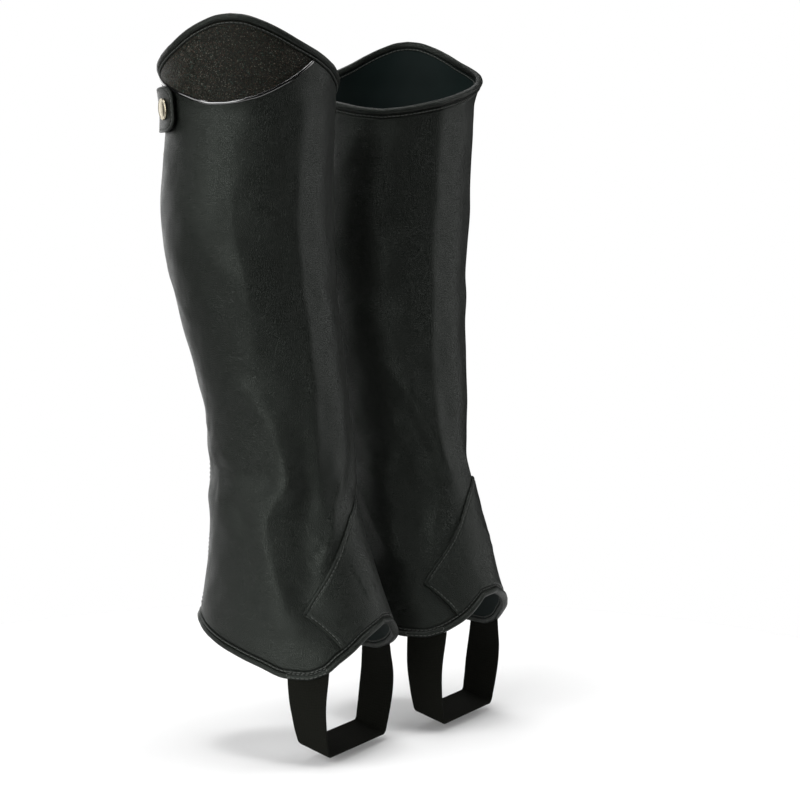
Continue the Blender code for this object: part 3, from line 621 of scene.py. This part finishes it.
def overlay_out(leg, angle, height):
    """How far the overlay's face stands off the panel: rolled at its edges, drawn in along its seams."""
    lower, upper = overlay_edges(leg, angle)
    to_upper = (upper - height) / edge_steepness(OVERLAY_UPPER, angle)
    side = np.abs(angle) > OVERLAY_HEM_ANGLE
    lower_slope = np.where(side, edge_steepness(OVERLAY_LOWER, angle), steepness(leg, hem_height, angle))
    to_lower = (height - lower) / lower_slope
    inside = np.clip(np.minimum(to_upper, to_lower) / OVERLAY_ROLL, 0.0, 1.0)
    rolled = np.sqrt(1 - (1 - inside) ** 2)
    groove = OVERLAY_GROOVE * bump_at(to_upper - UPPER_STITCH, SEAM_HALF_WIDTH)
    groove += np.where(side, OVERLAY_GROOVE, 0.0) * bump_at(to_lower - LOWER_STITCH, SEAM_HALF_WIDTH)
    return OVERLAY_EDGE_OUT + (OVERLAY_OUT - OVERLAY_EDGE_OUT) * rolled - groove


def dress_overlay(leg):
    """The kite of leather over the ankle's front."""
    side = OVERLAY_SIDE_ANGLE
    hem = OVERLAY_HEM_ANGLE
    angles = stretches((-side, -hem, 24), (-hem, hem, 96), (hem, side, 24))
    lower, upper = overlay_edges(leg, angles)
    band = np.minimum(OVERLAY_BAND, (upper - lower) * OVERLAY_BAND_LIMIT)
    middle = stretches((0.0, 1.0, 44))
    heights = banded_heights(lower, upper, band, OVERLAY_SHARES, middle, band, 1 - OVERLAY_SHARES[::-1])
    points = leather_point(leg, angles, heights, overlay_out(leg, angles, heights))
    overlay = cloth_sheet(leg, "overlay", points, "leather", OVERLAY_THICKNESS, "ankle_overlay")


# The inlay and the cord under it

INLAY_SEAM = 0.0024
INLAY_SEAM_WIDTH = 0.0007
CORD_SIDES = 16


def dress_inlay(leg):
    """The sparkling lens at the outer side, between the piping and the top binding."""
    angles = stretches((PIPING_START, PIPING_END, 90))
    heights = spanned(piping_height(leg, angles), top_edge(leg, angles, TOP_ROLL - TUCK), 36)
    rise = square_rise(leg, piping_height, angles, heights)
    groove = SEAM_GROOVE * bump_at(rise - INLAY_SEAM, INLAY_SEAM_WIDTH)
    out = -INLAY_DEPTH - (groove + binding_press(leg, angles, heights))
    points = leather_point(leg, angles, heights, out)
    inlay = cloth_sheet(leg, "inlay", points, "glitter", INLAY_THICKNESS, "side_inlay")


def dress_piping(leg):
    """The glossy cord in the seam under the inlay."""
    angles = stretches((PIPING_START, PIPING_END, 170))
    points, out_axis = leather_frame(leg, angles, piping_height(leg, angles), PIPING_PROUD)
    across = np.cross(unit(np.gradient(points, axis=0)), out_axis)
    sections = points[:, None] + ring_of(CORD_SIDES, out_axis, across) * PIPING_RADIUS
    add_piece(leg, "cord", bar("cord", sections), "patent", "piping")


# The rolled bindings

# The section of a binding from its sewn edge to the garment's edge: the share of its height, and the share of
# its rise off the leather. The last row is the roll's outermost line, half way through its thickness.
ROLL_ROWS = (
    (1.0, -0.2), (0.99, 0.14), (0.96, 0.26), (0.89, 0.3), (0.82, 0.27), (0.785, 0.12),
    (0.76, -0.24), (0.735, -0.42), (0.71, -0.28), (0.682, 0.14), (0.64, 0.44), (0.56, 0.72),
    (0.46, 0.91), (0.34, 1.0), (0.22, 0.97), (0.12, 0.8), (0.05, 0.48), (0.012, 0.1),
)
FLANGE_SHARE = 0.88
FLANGE_RISE = 0.3
INNER_FACE = -(LINING_DEPTH + LINING_THICKNESS)
PUCKER = 0.018


def pucker(leg, angle):
    """Slow uneven gathers along a rolled edge, round 1."""
    turn = np.radians(angle)
    waves = ((1.0, 37), (0.7, 61), (0.5, 95))
    total = sum(share * np.sin(count * turn + i * leg["phase"]) for i, (share, count) in enumerate(waves, 1))
    return 1 + PUCKER * total


def dress_binding(leg, name, height, proud, edge, node):
    """A rolled strip of leather along the top edge or the hem, from zip edge to zip edge."""
    angles = stretches((ZIP_FAR, ZIP_NEAR, 330))[:, None]
    middle = (proud + BINDING_IN) / 2
    shares, rises = np.array(ROLL_ROWS).T
    outs = np.concatenate((proud * rises, [middle], INNER_FACE + (BINDING_IN - INNER_FACE) * rises[::-1]))
    distances = height * np.concatenate((shares, [0.0], shares[::-1]))
    outs = middle + (outs - middle) * pucker(leg, angles)
    sections = leather_point(leg, angles, edge(leg, angles, distances), outs)
    return add_piece(leg, name, bar(name, sections), "leather", node)


# Stitching

CAPSULE_STATIONS = np.linspace(-1.0, 1.0, 5)
CAPSULE_FAT = np.array((0.55, 0.92, 1.0, 0.92, 0.55))
CAPSULE_SIDES = 6
OVERLAY_SEAM_START = 0.4
OVERLAY_SEAM_END = OVERLAY_SIDE_ANGLE - 5.5
ZIP_SEAM_INSET = 0.002


def capsules(name, centres, normals, radius):
    """A mesh of small rounded bars, one for each row of centres."""
    count, stations = centres.shape[:2]
    across = unit(np.cross(unit(np.gradient(centres, axis=1)), normals))
    fat = (radius * CAPSULE_FAT)[:, None, None]
    points = centres[:, :, None, :] + ring_of(CAPSULE_SIDES, across, normals) * fat
    one = bar_faces(stations, CAPSULE_SIDES)
    size = stations * CAPSULE_SIDES
    faces = [[corner + i * size for corner in face] for i in range(count) for face in one]
    return mesh_of(name, points, faces)


def stitched(path, normals):
    """The middle lines of a row of stitches along a path on the cloth, and the normals there."""
    travel = travelled(path)
    count = max(int(round(travel[-1] / STITCH_PITCH)), 1)
    middles = (np.arange(count) + 0.5) * travel[-1] / count
    spots = middles[:, None] + CAPSULE_STATIONS * STITCH_LENGTH / 2
    centres, up = [
        np.stack([np.interp(spots, travel, column) for column in values.T], axis=-1)
        for values in (path, normals)
    ]
    lift = STITCH_RADIUS * STITCH_PROUD - STITCH_SINK * CAPSULE_STATIONS**4
    return centres + up * lift[:, None], up


def seam(leg, angles, heights, out):
    return stitched(*leather_frame(leg, angles, heights, out))


def binding_seams(leg, height, proud, edge):
    """A binding's stitches, outside and where they come out on the lining side."""
    angles = stretches((ZIP_FAR + 1, ZIP_NEAR - 1, 700))
    heights = edge(leg, angles, height * FLANGE_SHARE)
    inner_out = INNER_FACE + (BINDING_IN - INNER_FACE) * FLANGE_RISE
    points, normals = leather_frame(leg, angles, heights, inner_out)
    return seam(leg, angles, heights, proud * FLANGE_RISE), stitched(points, -normals)


def overlay_seams(leg):
    rows = (
        (OVERLAY_UPPER, OVERLAY_SEAM_START, OVERLAY_SEAM_END, 300, -UPPER_STITCH),
        (OVERLAY_LOWER, OVERLAY_HEM_ANGLE + OVERLAY_SEAM_START, OVERLAY_SEAM_END + 1, 100, LOWER_STITCH),
    )
    for line, start, end, steps, inset_by in rows:
        away = stretches((start, end, steps))
        heights = line(away) + leg["ride"] + inset_by * edge_steepness(line, away)
        for side in (-1, 1):
            yield seam(leg, side * away, heights, OVERLAY_OUT - OVERLAY_GROOVE)


def zip_seams(leg):
    for side in (-1, 1):
        edge_angle = ZIP_CENTRE + side * ZIP_HALF_GAP
        low = float(hem_edge(leg, edge_angle, HEM_ROLL + ZIP_SEAM_INSET))
        high = float(top_edge(leg, edge_angle, TOP_ROLL + ZIP_SEAM_INSET))
        heights = stretches((low, high, 500))
        angles = edge_angle + side * np.degrees(ZIP_STITCH / LEVELS["half_depth"](heights))
        yield seam(leg, angles, heights, TURNED_EDGE - SEAM_GROOVE)


def dress_stitching(leg):
    """All the thread that shows on the cloth, as one piece."""
    rows = [
        *binding_seams(leg, TOP_ROLL, TOP_ROLL_OUT, top_edge),
        *binding_seams(leg, HEM_ROLL, HEM_ROLL_OUT, hem_edge),
        *overlay_seams(leg),
        *zip_seams(leg),
        tab_seam(leg),
        *strap_box_seams(leg),
    ]
    centres, normals = [np.concatenate(values) for values in zip(*rows)]
    add_piece(leg, "stitching", capsules("stitching", centres, normals, STITCH_RADIUS), "thread")


# The zip

TAPE_FLAT_ANGLE = 2.2
TEETH_END_INSET = 0.0015
TOOTH_PITCH = 0.0012
TOOTH_RADIUS = 0.00048
TOOTH_REACH = (-0.0005, 0.0021)
TOOTH_OUT = 0.0001


def dress_zip(leg):
    """The zip's woven tape between the panel's edges, and its moulded teeth down the middle."""
    angles = stretches((ZIP_CENTRE - TAPE_HALF_ANGLE, ZIP_CENTRE + TAPE_HALF_ANGLE, 20))
    low = hem_edge(leg, angles, ZIP_END_INSET)
    high = top_edge(leg, angles, ZIP_END_INSET)
    aside = (np.abs(angles - ZIP_CENTRE) - TAPE_FLAT_ANGLE) / (ZIP_HALF_GAP - TAPE_FLAT_ANGLE)
    sunk = TAPE_DEPTH + (TAPE_EDGE_DEPTH - TAPE_DEPTH) * smooth_step(aside)
    points = leather_point(leg, angles, spanned(low, high, 150), -sunk)
    tape = cloth_sheet(leg, "zip_cloth", points, "tape", TAPE_THICKNESS, "zip")
    levels = np.arange(low.mean() + TEETH_END_INSET, high.mean() - TEETH_END_INSET, TOOTH_PITCH)[:, None]
    sides = np.where(np.arange(len(levels)) % 2 == 0, 1.0, -1.0)[:, None]
    reach = np.interp(CAPSULE_STATIONS, (-1.0, 1.0), TOOTH_REACH)
    across = ZIP_CENTRE + np.degrees(sides * reach / LEVELS["half_depth"](levels))
    teeth = capsules("zip_teeth", *leather_frame(leg, across, levels, TOOTH_OUT), TOOTH_RADIUS)
    teeth_piece = add_piece(leg, "zip_teeth", teeth, "teeth")


# The snap tab and its cap

TAB_EDGE_DISTANCES = (0.0, 0.00012, 0.0003, 0.0006, 0.001, 0.0014, 0.0018, 0.0022, 0.0026, 0.0032, 0.0042)
TAB_INNER_SHARES = (0.2, 0.4, 0.6, 0.8, 1.0)
TAB_UNDER_DISTANCES = (0.003, 0.001, 0.0004, 0.00012)
TAB_ROLL = 0.0009
TAB_STITCH = 0.002
TAB_GROOVE = 0.0005
TAB_GROOVE_WIDTH = 0.0005
TAB_THREAD_OUT = 0.0001
TAB_CORE = 0.012
TAB_START = TAB_ROWS[0][0]
TAB_RADIUS = float(LEVELS["half_depth"](CAP_HEIGHT))


def tab_outline():
    """The tab's edge, as distances from its free end and up from its middle, and its middle line."""
    length = math.radians(TAB_ROWS[-1][0] - TAB_START) * TAB_RADIUS
    corner = TAB_CORNER * (1 - np.cos(np.radians(stretches((0.0, 90.0, 14)))))
    along = np.concatenate((corner, np.linspace(TAB_CORNER, length, 40)[1:]))
    angle = TAB_START + np.degrees(along / TAB_RADIUS)
    half = (TAB_LINES["high"](angle) - TAB_LINES["low"](angle)) / 2
    rest = np.clip(1 - along / TAB_CORNER, 0.0, 1.0)
    reach = half * np.where(rest > 0, TAB_TIP_SHARE + (1 - TAB_TIP_SHARE) * np.sqrt(1 - rest**2), 1.0)
    tip = np.linspace(-reach[0], reach[0], 8)[1:-1]
    end = np.linspace(reach[-1], -reach[-1], 16)[1:-1]
    edge = np.concatenate((
        np.stack((along[::-1], -reach[::-1]), axis=1),
        np.stack((np.zeros(len(tip)), tip), axis=1),
        np.stack((along, reach), axis=1),
        np.stack((np.full(len(end), length), end), axis=1),
    ))
    core = np.stack((np.clip(edge[:, 0], TAB_CORE, length - TAB_CORE), np.zeros(len(edge))), axis=1)
    return edge, core


TAB_EDGE, TAB_MIDDLE = tab_outline()


def inset(distance, share=0.0):
    """The tab's outline moved in by a distance, then by a share of the rest, towards its middle line."""
    gap = TAB_MIDDLE - TAB_EDGE
    reach = np.linalg.norm(gap, axis=1, keepdims=True)
    line = TAB_EDGE + gap * np.minimum(distance / reach, 1.0)
    return line + (TAB_MIDDLE - line) * share


def tab_frame(leg, flat, out):
    """Points over the tab's flat cut, this much above or below its own outer face."""
    angle = TAB_START + np.degrees(flat[:, 0] / TAB_RADIUS)
    height = (TAB_LINES["low"](angle) + TAB_LINES["high"](angle)) / 2 + flat[:, 1] + leg["ride"]
    return leather_frame(leg, angle, height, TAB_LINES["out"](angle) + out)


def tab_face(distance):
    """The outer face's drop at its rolled edge and in the groove of its stitching."""
    inside = min(distance / TAB_ROLL, 1.0)
    roll = TAB_ROLL * (1 - math.sqrt(1 - (1 - inside) ** 2))
    return -roll - TAB_GROOVE * bump_at(distance - TAB_STITCH, TAB_GROOVE_WIDTH)


def dress_tab(leg):
    """The leather tab over the top of the zip, with a rounded free end and a stitched border."""
    layers = [(inset(TAB_UNDER_DISTANCES[0], share), -TAB_THICKNESS) for share in TAB_INNER_SHARES[::-1]]
    layers += [(inset(distance), -TAB_THICKNESS - tab_face(distance)) for distance in TAB_UNDER_DISTANCES]
    layers += [(inset(distance), tab_face(distance)) for distance in TAB_EDGE_DISTANCES]
    layers += [(inset(TAB_EDGE_DISTANCES[-1], share), 0.0) for share in TAB_INNER_SHARES]
    rings = np.stack([tab_frame(leg, flat, out)[0] for flat, out in layers])
    mesh = welded(mesh_of("tab", rings, grid_faces(*rings.shape[:2], ring=True)))
    return add_piece(leg, "tab", mesh, "leather", "snap_tab")


def tab_seam(leg):
    line = inset(TAB_STITCH)
    return stitched(*tab_frame(leg, np.concatenate((line, line[:1])), TAB_THREAD_OUT - TAB_GROOVE))


CAP_SIDES = 64
# The cap's turned profile: radius and rise, in millimetres.
CAP_PROFILE = (
    (0, 1.35), (1.2, 1.33), (2.4, 1.27), (3.6, 1.15), (4.6, 0.99), (5.2, 0.84), (5.5, 0.74), (5.8, 0.74),
    (6.1, 0.86), (6.5, 0.9), (6.8, 0.78), (7, 0.48), (7, 0.1), (6.7, -0.6),
)


def dress_cap(leg):
    """The press stud's domed cap with its rolled rim: a turned profile, stood on the tab."""
    out = float(TAB_LINES["out"](CAP_ANGLE)) + CAP_GAP
    centre, normal = leather_frame(leg, CAP_ANGLE, CAP_HEIGHT + leg["ride"], out)
    side = unit(np.cross((0.0, 0.0, 1.0), normal))
    around = ring_of(CAP_SIDES, side, np.cross(normal, side))
    rings = np.stack([centre + radius * around + rise * normal for radius, rise in in_metres(CAP_PROFILE, 0)])
    add_piece(leg, "cap", bar("cap", rings), "nickel", "snap_cap")


# The strap

STRAP_CORDS = 15
STRAP_CORD_RISE = 0.00016
STRAP_ROUND = 0.00045
STRAP_EDGE_SHARE = 0.03
STRAP_HEM_LAP = 0.0006
BOX_INSET = 0.0006
# The box: shares of the hem binding's height at its bottom, middle and top, and of the binding's rise there.
BOX_SHARES = (0.24, 0.45, 0.68)
BOX_RISES = (0.97, 0.9, 0.3)


def hem_at(leg, forward, side):
    """The spot under the hem this far ahead of the ankle, on the outer side (1) or the inner one (-1)."""
    share = (forward - LEVELS["forward"](STRAP_HEM_LEVEL)) / LEVELS["half_depth"](STRAP_HEM_LEVEL)
    angle = side * np.degrees(np.arccos(share)) - leg["turn"]
    return leather_point(leg, angle, hem_edge(leg, angle, STRAP_HEM_LAP), STRAP_TUCK), angle


def dress_strap(leg):
    """The ribbed elastic strap from the outer hem, across under the foot and up to the inner hem."""
    down = stretches((0.0, 8.0, 96), (8.0, 10.0, 10))
    across = stretches((-0.5, 0.5, STRAP_CORDS * 4))
    lines = {name: curve(down)[:, None] for name, curve in STRAP_LINES.items()}
    forward = lines["forward"] + across * lines["width"]
    sole = SOLE_HEIGHT - SOLE_SLOPE * across * lines["width"]
    middle = leg["outer"] * LEG_SPACING / 2
    halves = []
    for side in (1.0, -1.0):
        start, _ = hem_at(leg, forward, side)
        start_height = start[..., 2] + HOLD_HEIGHT
        height = start_height + (sole - start_height) * lines["down"]
        outward = leg["outer"] * side * lines["outward"]
        sideways = outward + (start[..., 1] - middle - outward) * lines["hem_share"] + middle
        halves.append(np.stack((forward + leg["ahead"], sideways, height - HOLD_HEIGHT), axis=-1))
    route = np.concatenate((halves[0], halves[1][::-1]))
    travel = travelled(route[:, route.shape[1] // 2])
    normals = unit(np.cross(np.gradient(route, axis=1), np.gradient(route, axis=0)))
    cords = STRAP_CORD_RISE * np.abs(np.cos(math.pi * STRAP_CORDS * (across + 0.5)))
    edge = 1 - np.clip((0.5 - np.abs(across)) / STRAP_EDGE_SHARE, 0.0, 1.0)
    half = STRAP_THICKNESS / 2 + (cords - STRAP_ROUND * edge**2) - STRAP_CORD_RISE
    raised = normals * half[:, None]
    sections = np.concatenate((route + raised, (route - raised)[:, ::-1]), axis=1)
    mesh = mesh_of("strap", sections, bar_faces(*sections.shape[:2]))
    sidewards = np.concatenate((across, across[::-1])) * STRAP_WIDTH
    # Each point's place in the flat strap, in metres, for the weave.
    places = np.stack(np.broadcast_arrays(sidewards, travel[:, None], 0.0), axis=-1)
    layer = mesh.attributes.new("cloth", "FLOAT_VECTOR", "POINT")
    layer.data.foreach_set("vector", np.ascontiguousarray(places, np.float32).ravel())
    strap = add_piece(leg, "strap", welded(mesh), "webbing", "stirrup_strap")


def strap_box_seams(leg):
    """The stitched box that holds each end of the strap inside the hem binding."""
    half = STRAP_WIDTH / 2 - BOX_INSET
    forward = STRAP_FORWARD + stretches((-half, half, 40))
    up = stretches((HEM_ROLL * BOX_SHARES[0], HEM_ROLL * BOX_SHARES[-1], 12))
    up_rises = HEM_ROLL_OUT * np.interp(up / HEM_ROLL, BOX_SHARES, BOX_RISES)
    for side in (1.0, -1.0):
        _, angles = hem_at(leg, forward, side)
        for i in (0, -1):
            heights = hem_edge(leg, angles, HEM_ROLL * BOX_SHARES[i])
            yield seam(leg, angles, heights, HEM_ROLL_OUT * BOX_RISES[i])
            yield seam(leg, angles[i], hem_edge(leg, angles[i], up), up_rises)


# Materials

class Nodes:
    """A short way to write one material's node tree."""

    def __init__(self, name):
        self.material = bpy.data.materials.new(name)
        self.material.use_nodes = True
        self.tree = self.material.node_tree
        self.shader = self.tree.nodes["Principled BSDF"]

    def put(self, node, inputs):
        for name, value in inputs.items():
            socket = node.inputs[name.replace("_", " ") if isinstance(name, str) else name]
            if isinstance(value, bpy.types.NodeSocket):
                self.tree.links.new(value, socket)
            else:
                socket.default_value = value

    def add(self, kind, settings=None, **inputs):
        node = self.tree.nodes.new("ShaderNode" + kind)
        for name, value in (settings or {}).items():
            setattr(node, name, value)
        self.put(node, inputs)
        return node

    def place(self):
        return self.add("TexCoord").outputs["Object"]

    def noise(self, scale, detail=3.0):
        node = self.add("TexNoise", Vector=self.place(), Scale=scale, Detail=detail, Roughness=0.55)
        return node.outputs["Fac"]

    def ranged(self, value, low, high, to_low, to_high):
        node = self.add("MapRange", {"interpolation_type": "SMOOTHSTEP"}, Value=value)
        self.put(node, {"From Min": low, "From Max": high, "To Min": to_low, "To Max": to_high})
        return node.outputs["Result"]

    def math(self, operation, *values, kind="Math", **inputs):
        node = self.add(kind, {"operation": operation}, **inputs)
        self.put(node, dict(enumerate(values)))
        return node.outputs[0]

    def bump(self, height, depth, strength, **under):
        return self.add("Bump", Height=height, Distance=depth, Strength=strength, **under).outputs["Normal"]

    def blend(self, share, *tones):
        """A colour between two. A plain number is a grey, and three numbers are red, green and blue."""
        tones = [(tone, tone, tone) if isinstance(tone, float) else tone for tone in tones]
        tones = [(*tone, 1.0) if isinstance(tone, tuple) else tone for tone in tones]
        node = self.add("Mix", {"data_type": "RGBA"})
        self.put(node, dict(zip((0, 6, 7), (share, *tones))))
        return node.outputs[2]

    def finish(self, **inputs):
        self.put(self.shader, inputs)
        return self.material


def leather_look():
    look = Nodes("pebbled_leather")
    cells = look.add(
        "TexVoronoi", {"feature": "DISTANCE_TO_EDGE"}, Vector=look.place(), Scale=820.0, Randomness=0.9
    )
    pebbles = look.ranged(cells.outputs["Distance"], 0.0, 0.16, 0.0, 1.0)
    grain = look.math("ADD", pebbles, look.math("MULTIPLY", look.noise(2600.0, 2.0), 0.35))
    under = look.bump(look.noise(55.0, 2.0), 0.0006, 0.35)
    hue = look.blend(look.noise(30.0), (0.0016, 0.002, 0.0015), (0.0025, 0.003, 0.0023))
    return look.finish(
        Base_Color=look.blend(pebbles, (0.0009, 0.0011, 0.0008), hue),
        Roughness=look.ranged(look.noise(90.0), 0.2, 0.8, 0.35, 0.43),
        Normal=look.bump(grain, 0.0002, 0.7, Normal=under),
        Specular_IOR_Level=0.27, Specular_Tint=(0.9, 1.0, 0.9, 1.0),
    )


# The flakes' tones, the darker ones the flakes' own colour and the lighter ones painted glints: where each
# begins in a random value from 0 to 1, and its red, green and blue.
FLAKE_AND_GLINT_ROWS = (
    (0.0, (0.0056, 0.0057, 0.0042)), (0.55, (0.0135, 0.0138, 0.0104)), (0.76, (0.027, 0.0258, 0.0188)),
    (0.88, (0.05, 0.033, 0.025)), (0.93, (0.024, 0.043, 0.035)), (0.97, (0.098, 0.096, 0.08)),
)
FLAKE_LEAN = 1.1


def glitter_look():
    """Small cells, each with its own tone and its own lean off the surface; the lighter tones are painted
    glints.
    """
    look = Nodes("black_glitter")
    flakes = look.add("TexVoronoi", {"feature": "F1"}, Vector=look.place(), Scale=2100.0).outputs["Color"]
    lean = look.math("SUBTRACT", flakes, (0.5, 0.5, 0.5), kind="VectorMath")
    lean = look.math("SCALE", lean, kind="VectorMath", Scale=FLAKE_LEAN)
    level = look.add("NewGeometry").outputs["Normal"]
    tilted = look.math("NORMALIZE", look.math("ADD", lean, level, kind="VectorMath"), kind="VectorMath")
    # The ramp's lighter tones are painted glints on the flakes.
    ramp = look.add("ValToRGB", Fac=look.add("SeparateColor", Color=flakes).outputs["Red"])
    ramp.color_ramp.interpolation = "CONSTANT"
    tones = ramp.color_ramp.elements
    while len(tones) < len(FLAKE_AND_GLINT_ROWS):
        tones.new(0.5)
    for element, (spot, tone) in zip(tones, FLAKE_AND_GLINT_ROWS):
        element.position = spot
        element.color = (*tone, 1.0)
    return look.finish(
        Base_Color=ramp.outputs["Color"], Normal=tilted, Roughness=0.5, Specular_IOR_Level=0.08
    )


def plain_look(name, scale, dark, light, grain=None, **settings):
    """A soft change between two close tones. grain is a fine bump's scale, depth and strength."""
    look = Nodes(name)
    if grain:
        settings["Normal"] = look.bump(look.noise(grain[0], 2.0), *grain[1:])
    return look.finish(Base_Color=look.blend(look.noise(scale), dark, light), **settings)


def webbing_look():
    look = Nodes("elastic_webbing")
    cloth = look.add("Attribute", {"attribute_name": "cloth"}).outputs["Vector"]
    waves = look.add("TexWave", {"bands_direction": "Y"}, Vector=cloth, Scale=170.0, Distortion=0.4)
    ribs = waves.outputs["Fac"]
    height = look.math("ADD", ribs, look.math("MULTIPLY", look.noise(1800.0, 2.0), 0.5))
    return look.finish(
        Base_Color=look.blend(ribs, (0.004, 0.0042, 0.003), (0.0052, 0.0055, 0.0039)),
        Normal=look.bump(height, 0.0001, 0.5), Roughness=0.9, Specular_IOR_Level=0.08,
    )


def woven_look(name, direction, scale, distortion, dark, light, depth, **settings):
    """Bands across a tape or round a thread."""
    look = Nodes(name)
    bands = look.add(
        "TexWave", {"bands_direction": direction}, Vector=look.place(), Scale=scale, Distortion=distortion
    ).outputs["Fac"]
    tone = look.blend(bands, dark, light)
    return look.finish(Base_Color=tone, Normal=look.bump(bands, depth, 0.5), **settings)


def nickel_look():
    look = Nodes("plated_nickel")
    return look.finish(
        Base_Color=look.blend(look.noise(260.0), (0.44, 0.38, 0.26), (0.52, 0.47, 0.36)),
        Roughness=look.ranged(look.noise(700.0), 0.25, 0.75, 0.24, 0.34),
        Normal=look.bump(look.noise(900.0), 0.00002, 0.3), Metallic=1.0,
    )


LOOKS = {
    "leather": leather_look(),
    "glitter": glitter_look(),
    "patent": plain_look(
        "patent_cord", 120.0, 0.002, 0.004, (220.0, 0.0001, 0.25),
        Roughness=0.14, Specular_IOR_Level=1.0, Coat_Weight=1.0, Coat_IOR=1.6, Coat_Roughness=0.12,
    ),
    "lining": plain_look(
        "teal_lining", 45.0, (0.0012, 0.005, 0.0044), (0.002, 0.0074, 0.0066), (2400.0, 0.0001, 0.5),
        Roughness=0.75, Specular_IOR_Level=0.15,
    ),
    "webbing": webbing_look(),
    "tape": woven_look("zip_tape_weave", "Z", 320.0, 0.6, 0.009, 0.02, 0.0002, Roughness=0.82),
    "teeth": plain_look("moulded_teeth", 400.0, 0.01, 0.018, Roughness=0.38),
    # The thread is black; its grey tones are painted sheen, so that the stitches show as light dashes on the
    # leather.
    "thread": woven_look(
        "thread_with_painted_sheen", "DIAGONAL", 900.0, 0.0, (0.04, 0.044, 0.04), (0.072, 0.077, 0.07), 0.00012,
        Roughness=0.45, Specular_IOR_Level=0.35,
    ),
    "nickel": nickel_look(),
}


def dress_metal(leg):
    """The slider and the pull stay as they are packed, with a plated finish."""
    for name in ("zip_slider", "zip_pull"):
        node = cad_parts[name + "_" + leg["name"]]
        node.data.materials.clear()
        node.data.materials.append(LOOKS["nickel"])


# The camera, the floor and the lights

# Softboxes: degrees round the pair from +X towards +Y, height of the middle, width, height and power.
LIGHT_ROWS = (
    ("softbox_left", -126.0, 0.3, 1.25, 1.7, 14.0),
    ("softbox_front", -93.0, 0.24, 1.15, 1.7, 31.0),
    ("softbox_right", 37.0, 0.3, 1.8, 1.7, 17.0),
    ("softbox_back", 146.0, 0.3, 2.1, 1.7, 19.0),
)
LIGHT_DISTANCE = 1.7
AIM = Vector((0.02, 0.0, -0.1))
# A softbox high overhead that keeps the floor pale and hardly reaches the upright sides.
TOP_LIGHT_HEIGHT = 3.0
TOP_LIGHT_SIZE = 1.8
TOP_LIGHT_POWER = 90.0
ROOM_STRENGTH = 0.01


def add_softbox(name, place, width, height, power):
    lamp = bpy.data.lights.new(name, "AREA")
    lamp.shape = "RECTANGLE"
    lamp.size = width
    lamp.size_y = height
    lamp.energy = power
    item = linked(name, lamp)
    item.location = place
    item.visible_camera = False
    return item


def add_lights():
    for name, azimuth, middle, width, height, power in LIGHT_ROWS:
        turn = math.radians(azimuth)
        place = Vector((LIGHT_DISTANCE * math.cos(turn), LIGHT_DISTANCE * math.sin(turn), middle))
        item = add_softbox(name, place, width, height, power)
        item.rotation_euler = (AIM - place).to_track_quat("-Z", "Y").to_euler()
    place = (AIM.x, AIM.y, TOP_LIGHT_HEIGHT)
    add_softbox("softbox_top", place, TOP_LIGHT_SIZE, TOP_LIGHT_SIZE, TOP_LIGHT_POWER)


def add_floor():
    shape = bmesh.new()
    middle = Matrix.Translation((AIM.x, AIM.y, FLOOR_HEIGHT))
    bmesh.ops.create_circle(shape, cap_ends=True, radius=FLOOR_RADIUS, segments=160, matrix=middle)
    mesh = bpy.data.meshes.new("floor")
    shape.to_mesh(mesh)
    shape.free()
    floor = linked("floor", mesh)
    mesh.materials.append(plain_look("pale_floor", 3.0, 0.88, 0.91, Roughness=0.9, Specular_IOR_Level=0.1))


def add_world():
    """A dim room. The camera sees plain white all round."""
    world = bpy.data.worlds.new("studio")
    bpy.context.scene.world = world
    world.use_nodes = True
    tree = world.node_tree
    tree.nodes.clear()
    kinds = ("OutputWorld", "MixShader", "Background", "Background", "LightPath")
    output, mix, seen, room, path = [tree.nodes.new("ShaderNode" + kind) for kind in kinds]
    seen.inputs["Color"].default_value = (1.0, 1.0, 1.0, 1.0)
    room.inputs["Color"].default_value = (0.97, 1.0, 0.98, 1.0)
    room.inputs["Strength"].default_value = ROOM_STRENGTH
    tree.links.new(path.outputs["Is Camera Ray"], mix.inputs[0])
    tree.links.new(room.outputs[0], mix.inputs[1])
    tree.links.new(seen.outputs[0], mix.inputs[2])
    tree.links.new(mix.outputs[0], output.inputs["Surface"])


def add_camera():
    camera = linked("camera", bpy.data.cameras.new("camera"))
    camera.location = CAMERA_PLACE
    camera.rotation_euler = [math.radians(turn) for turn in CAMERA_TURN]
    camera.data.lens = CAMERA_LENS
    camera.data.sensor_width = 36.0
    bpy.context.scene.camera = camera


add_camera()
add_floor()
add_world()
add_lights()
bpy.context.scene.view_settings.view_transform = "Standard"
for leg_row in LEG_ROWS:
    leg = dict(zip(LEG_COLUMNS, leg_row))
    panel = dress_panel(leg)
    dress_lining(leg)
    dress_overlay(leg)
    dress_inlay(leg)
    dress_piping(leg)
    top = dress_binding(leg, "rolled_top", TOP_ROLL, TOP_ROLL_OUT, top_edge, "top_binding")
    hem = dress_binding(leg, "rolled_hem", HEM_ROLL, HEM_ROLL_OUT, hem_edge, "hem_binding")
    dress_zip(leg)
    tab = dress_tab(leg)
    dress_cap(leg)
    dress_strap(leg)
    dress_stitching(leg)
    dress_metal(leg)
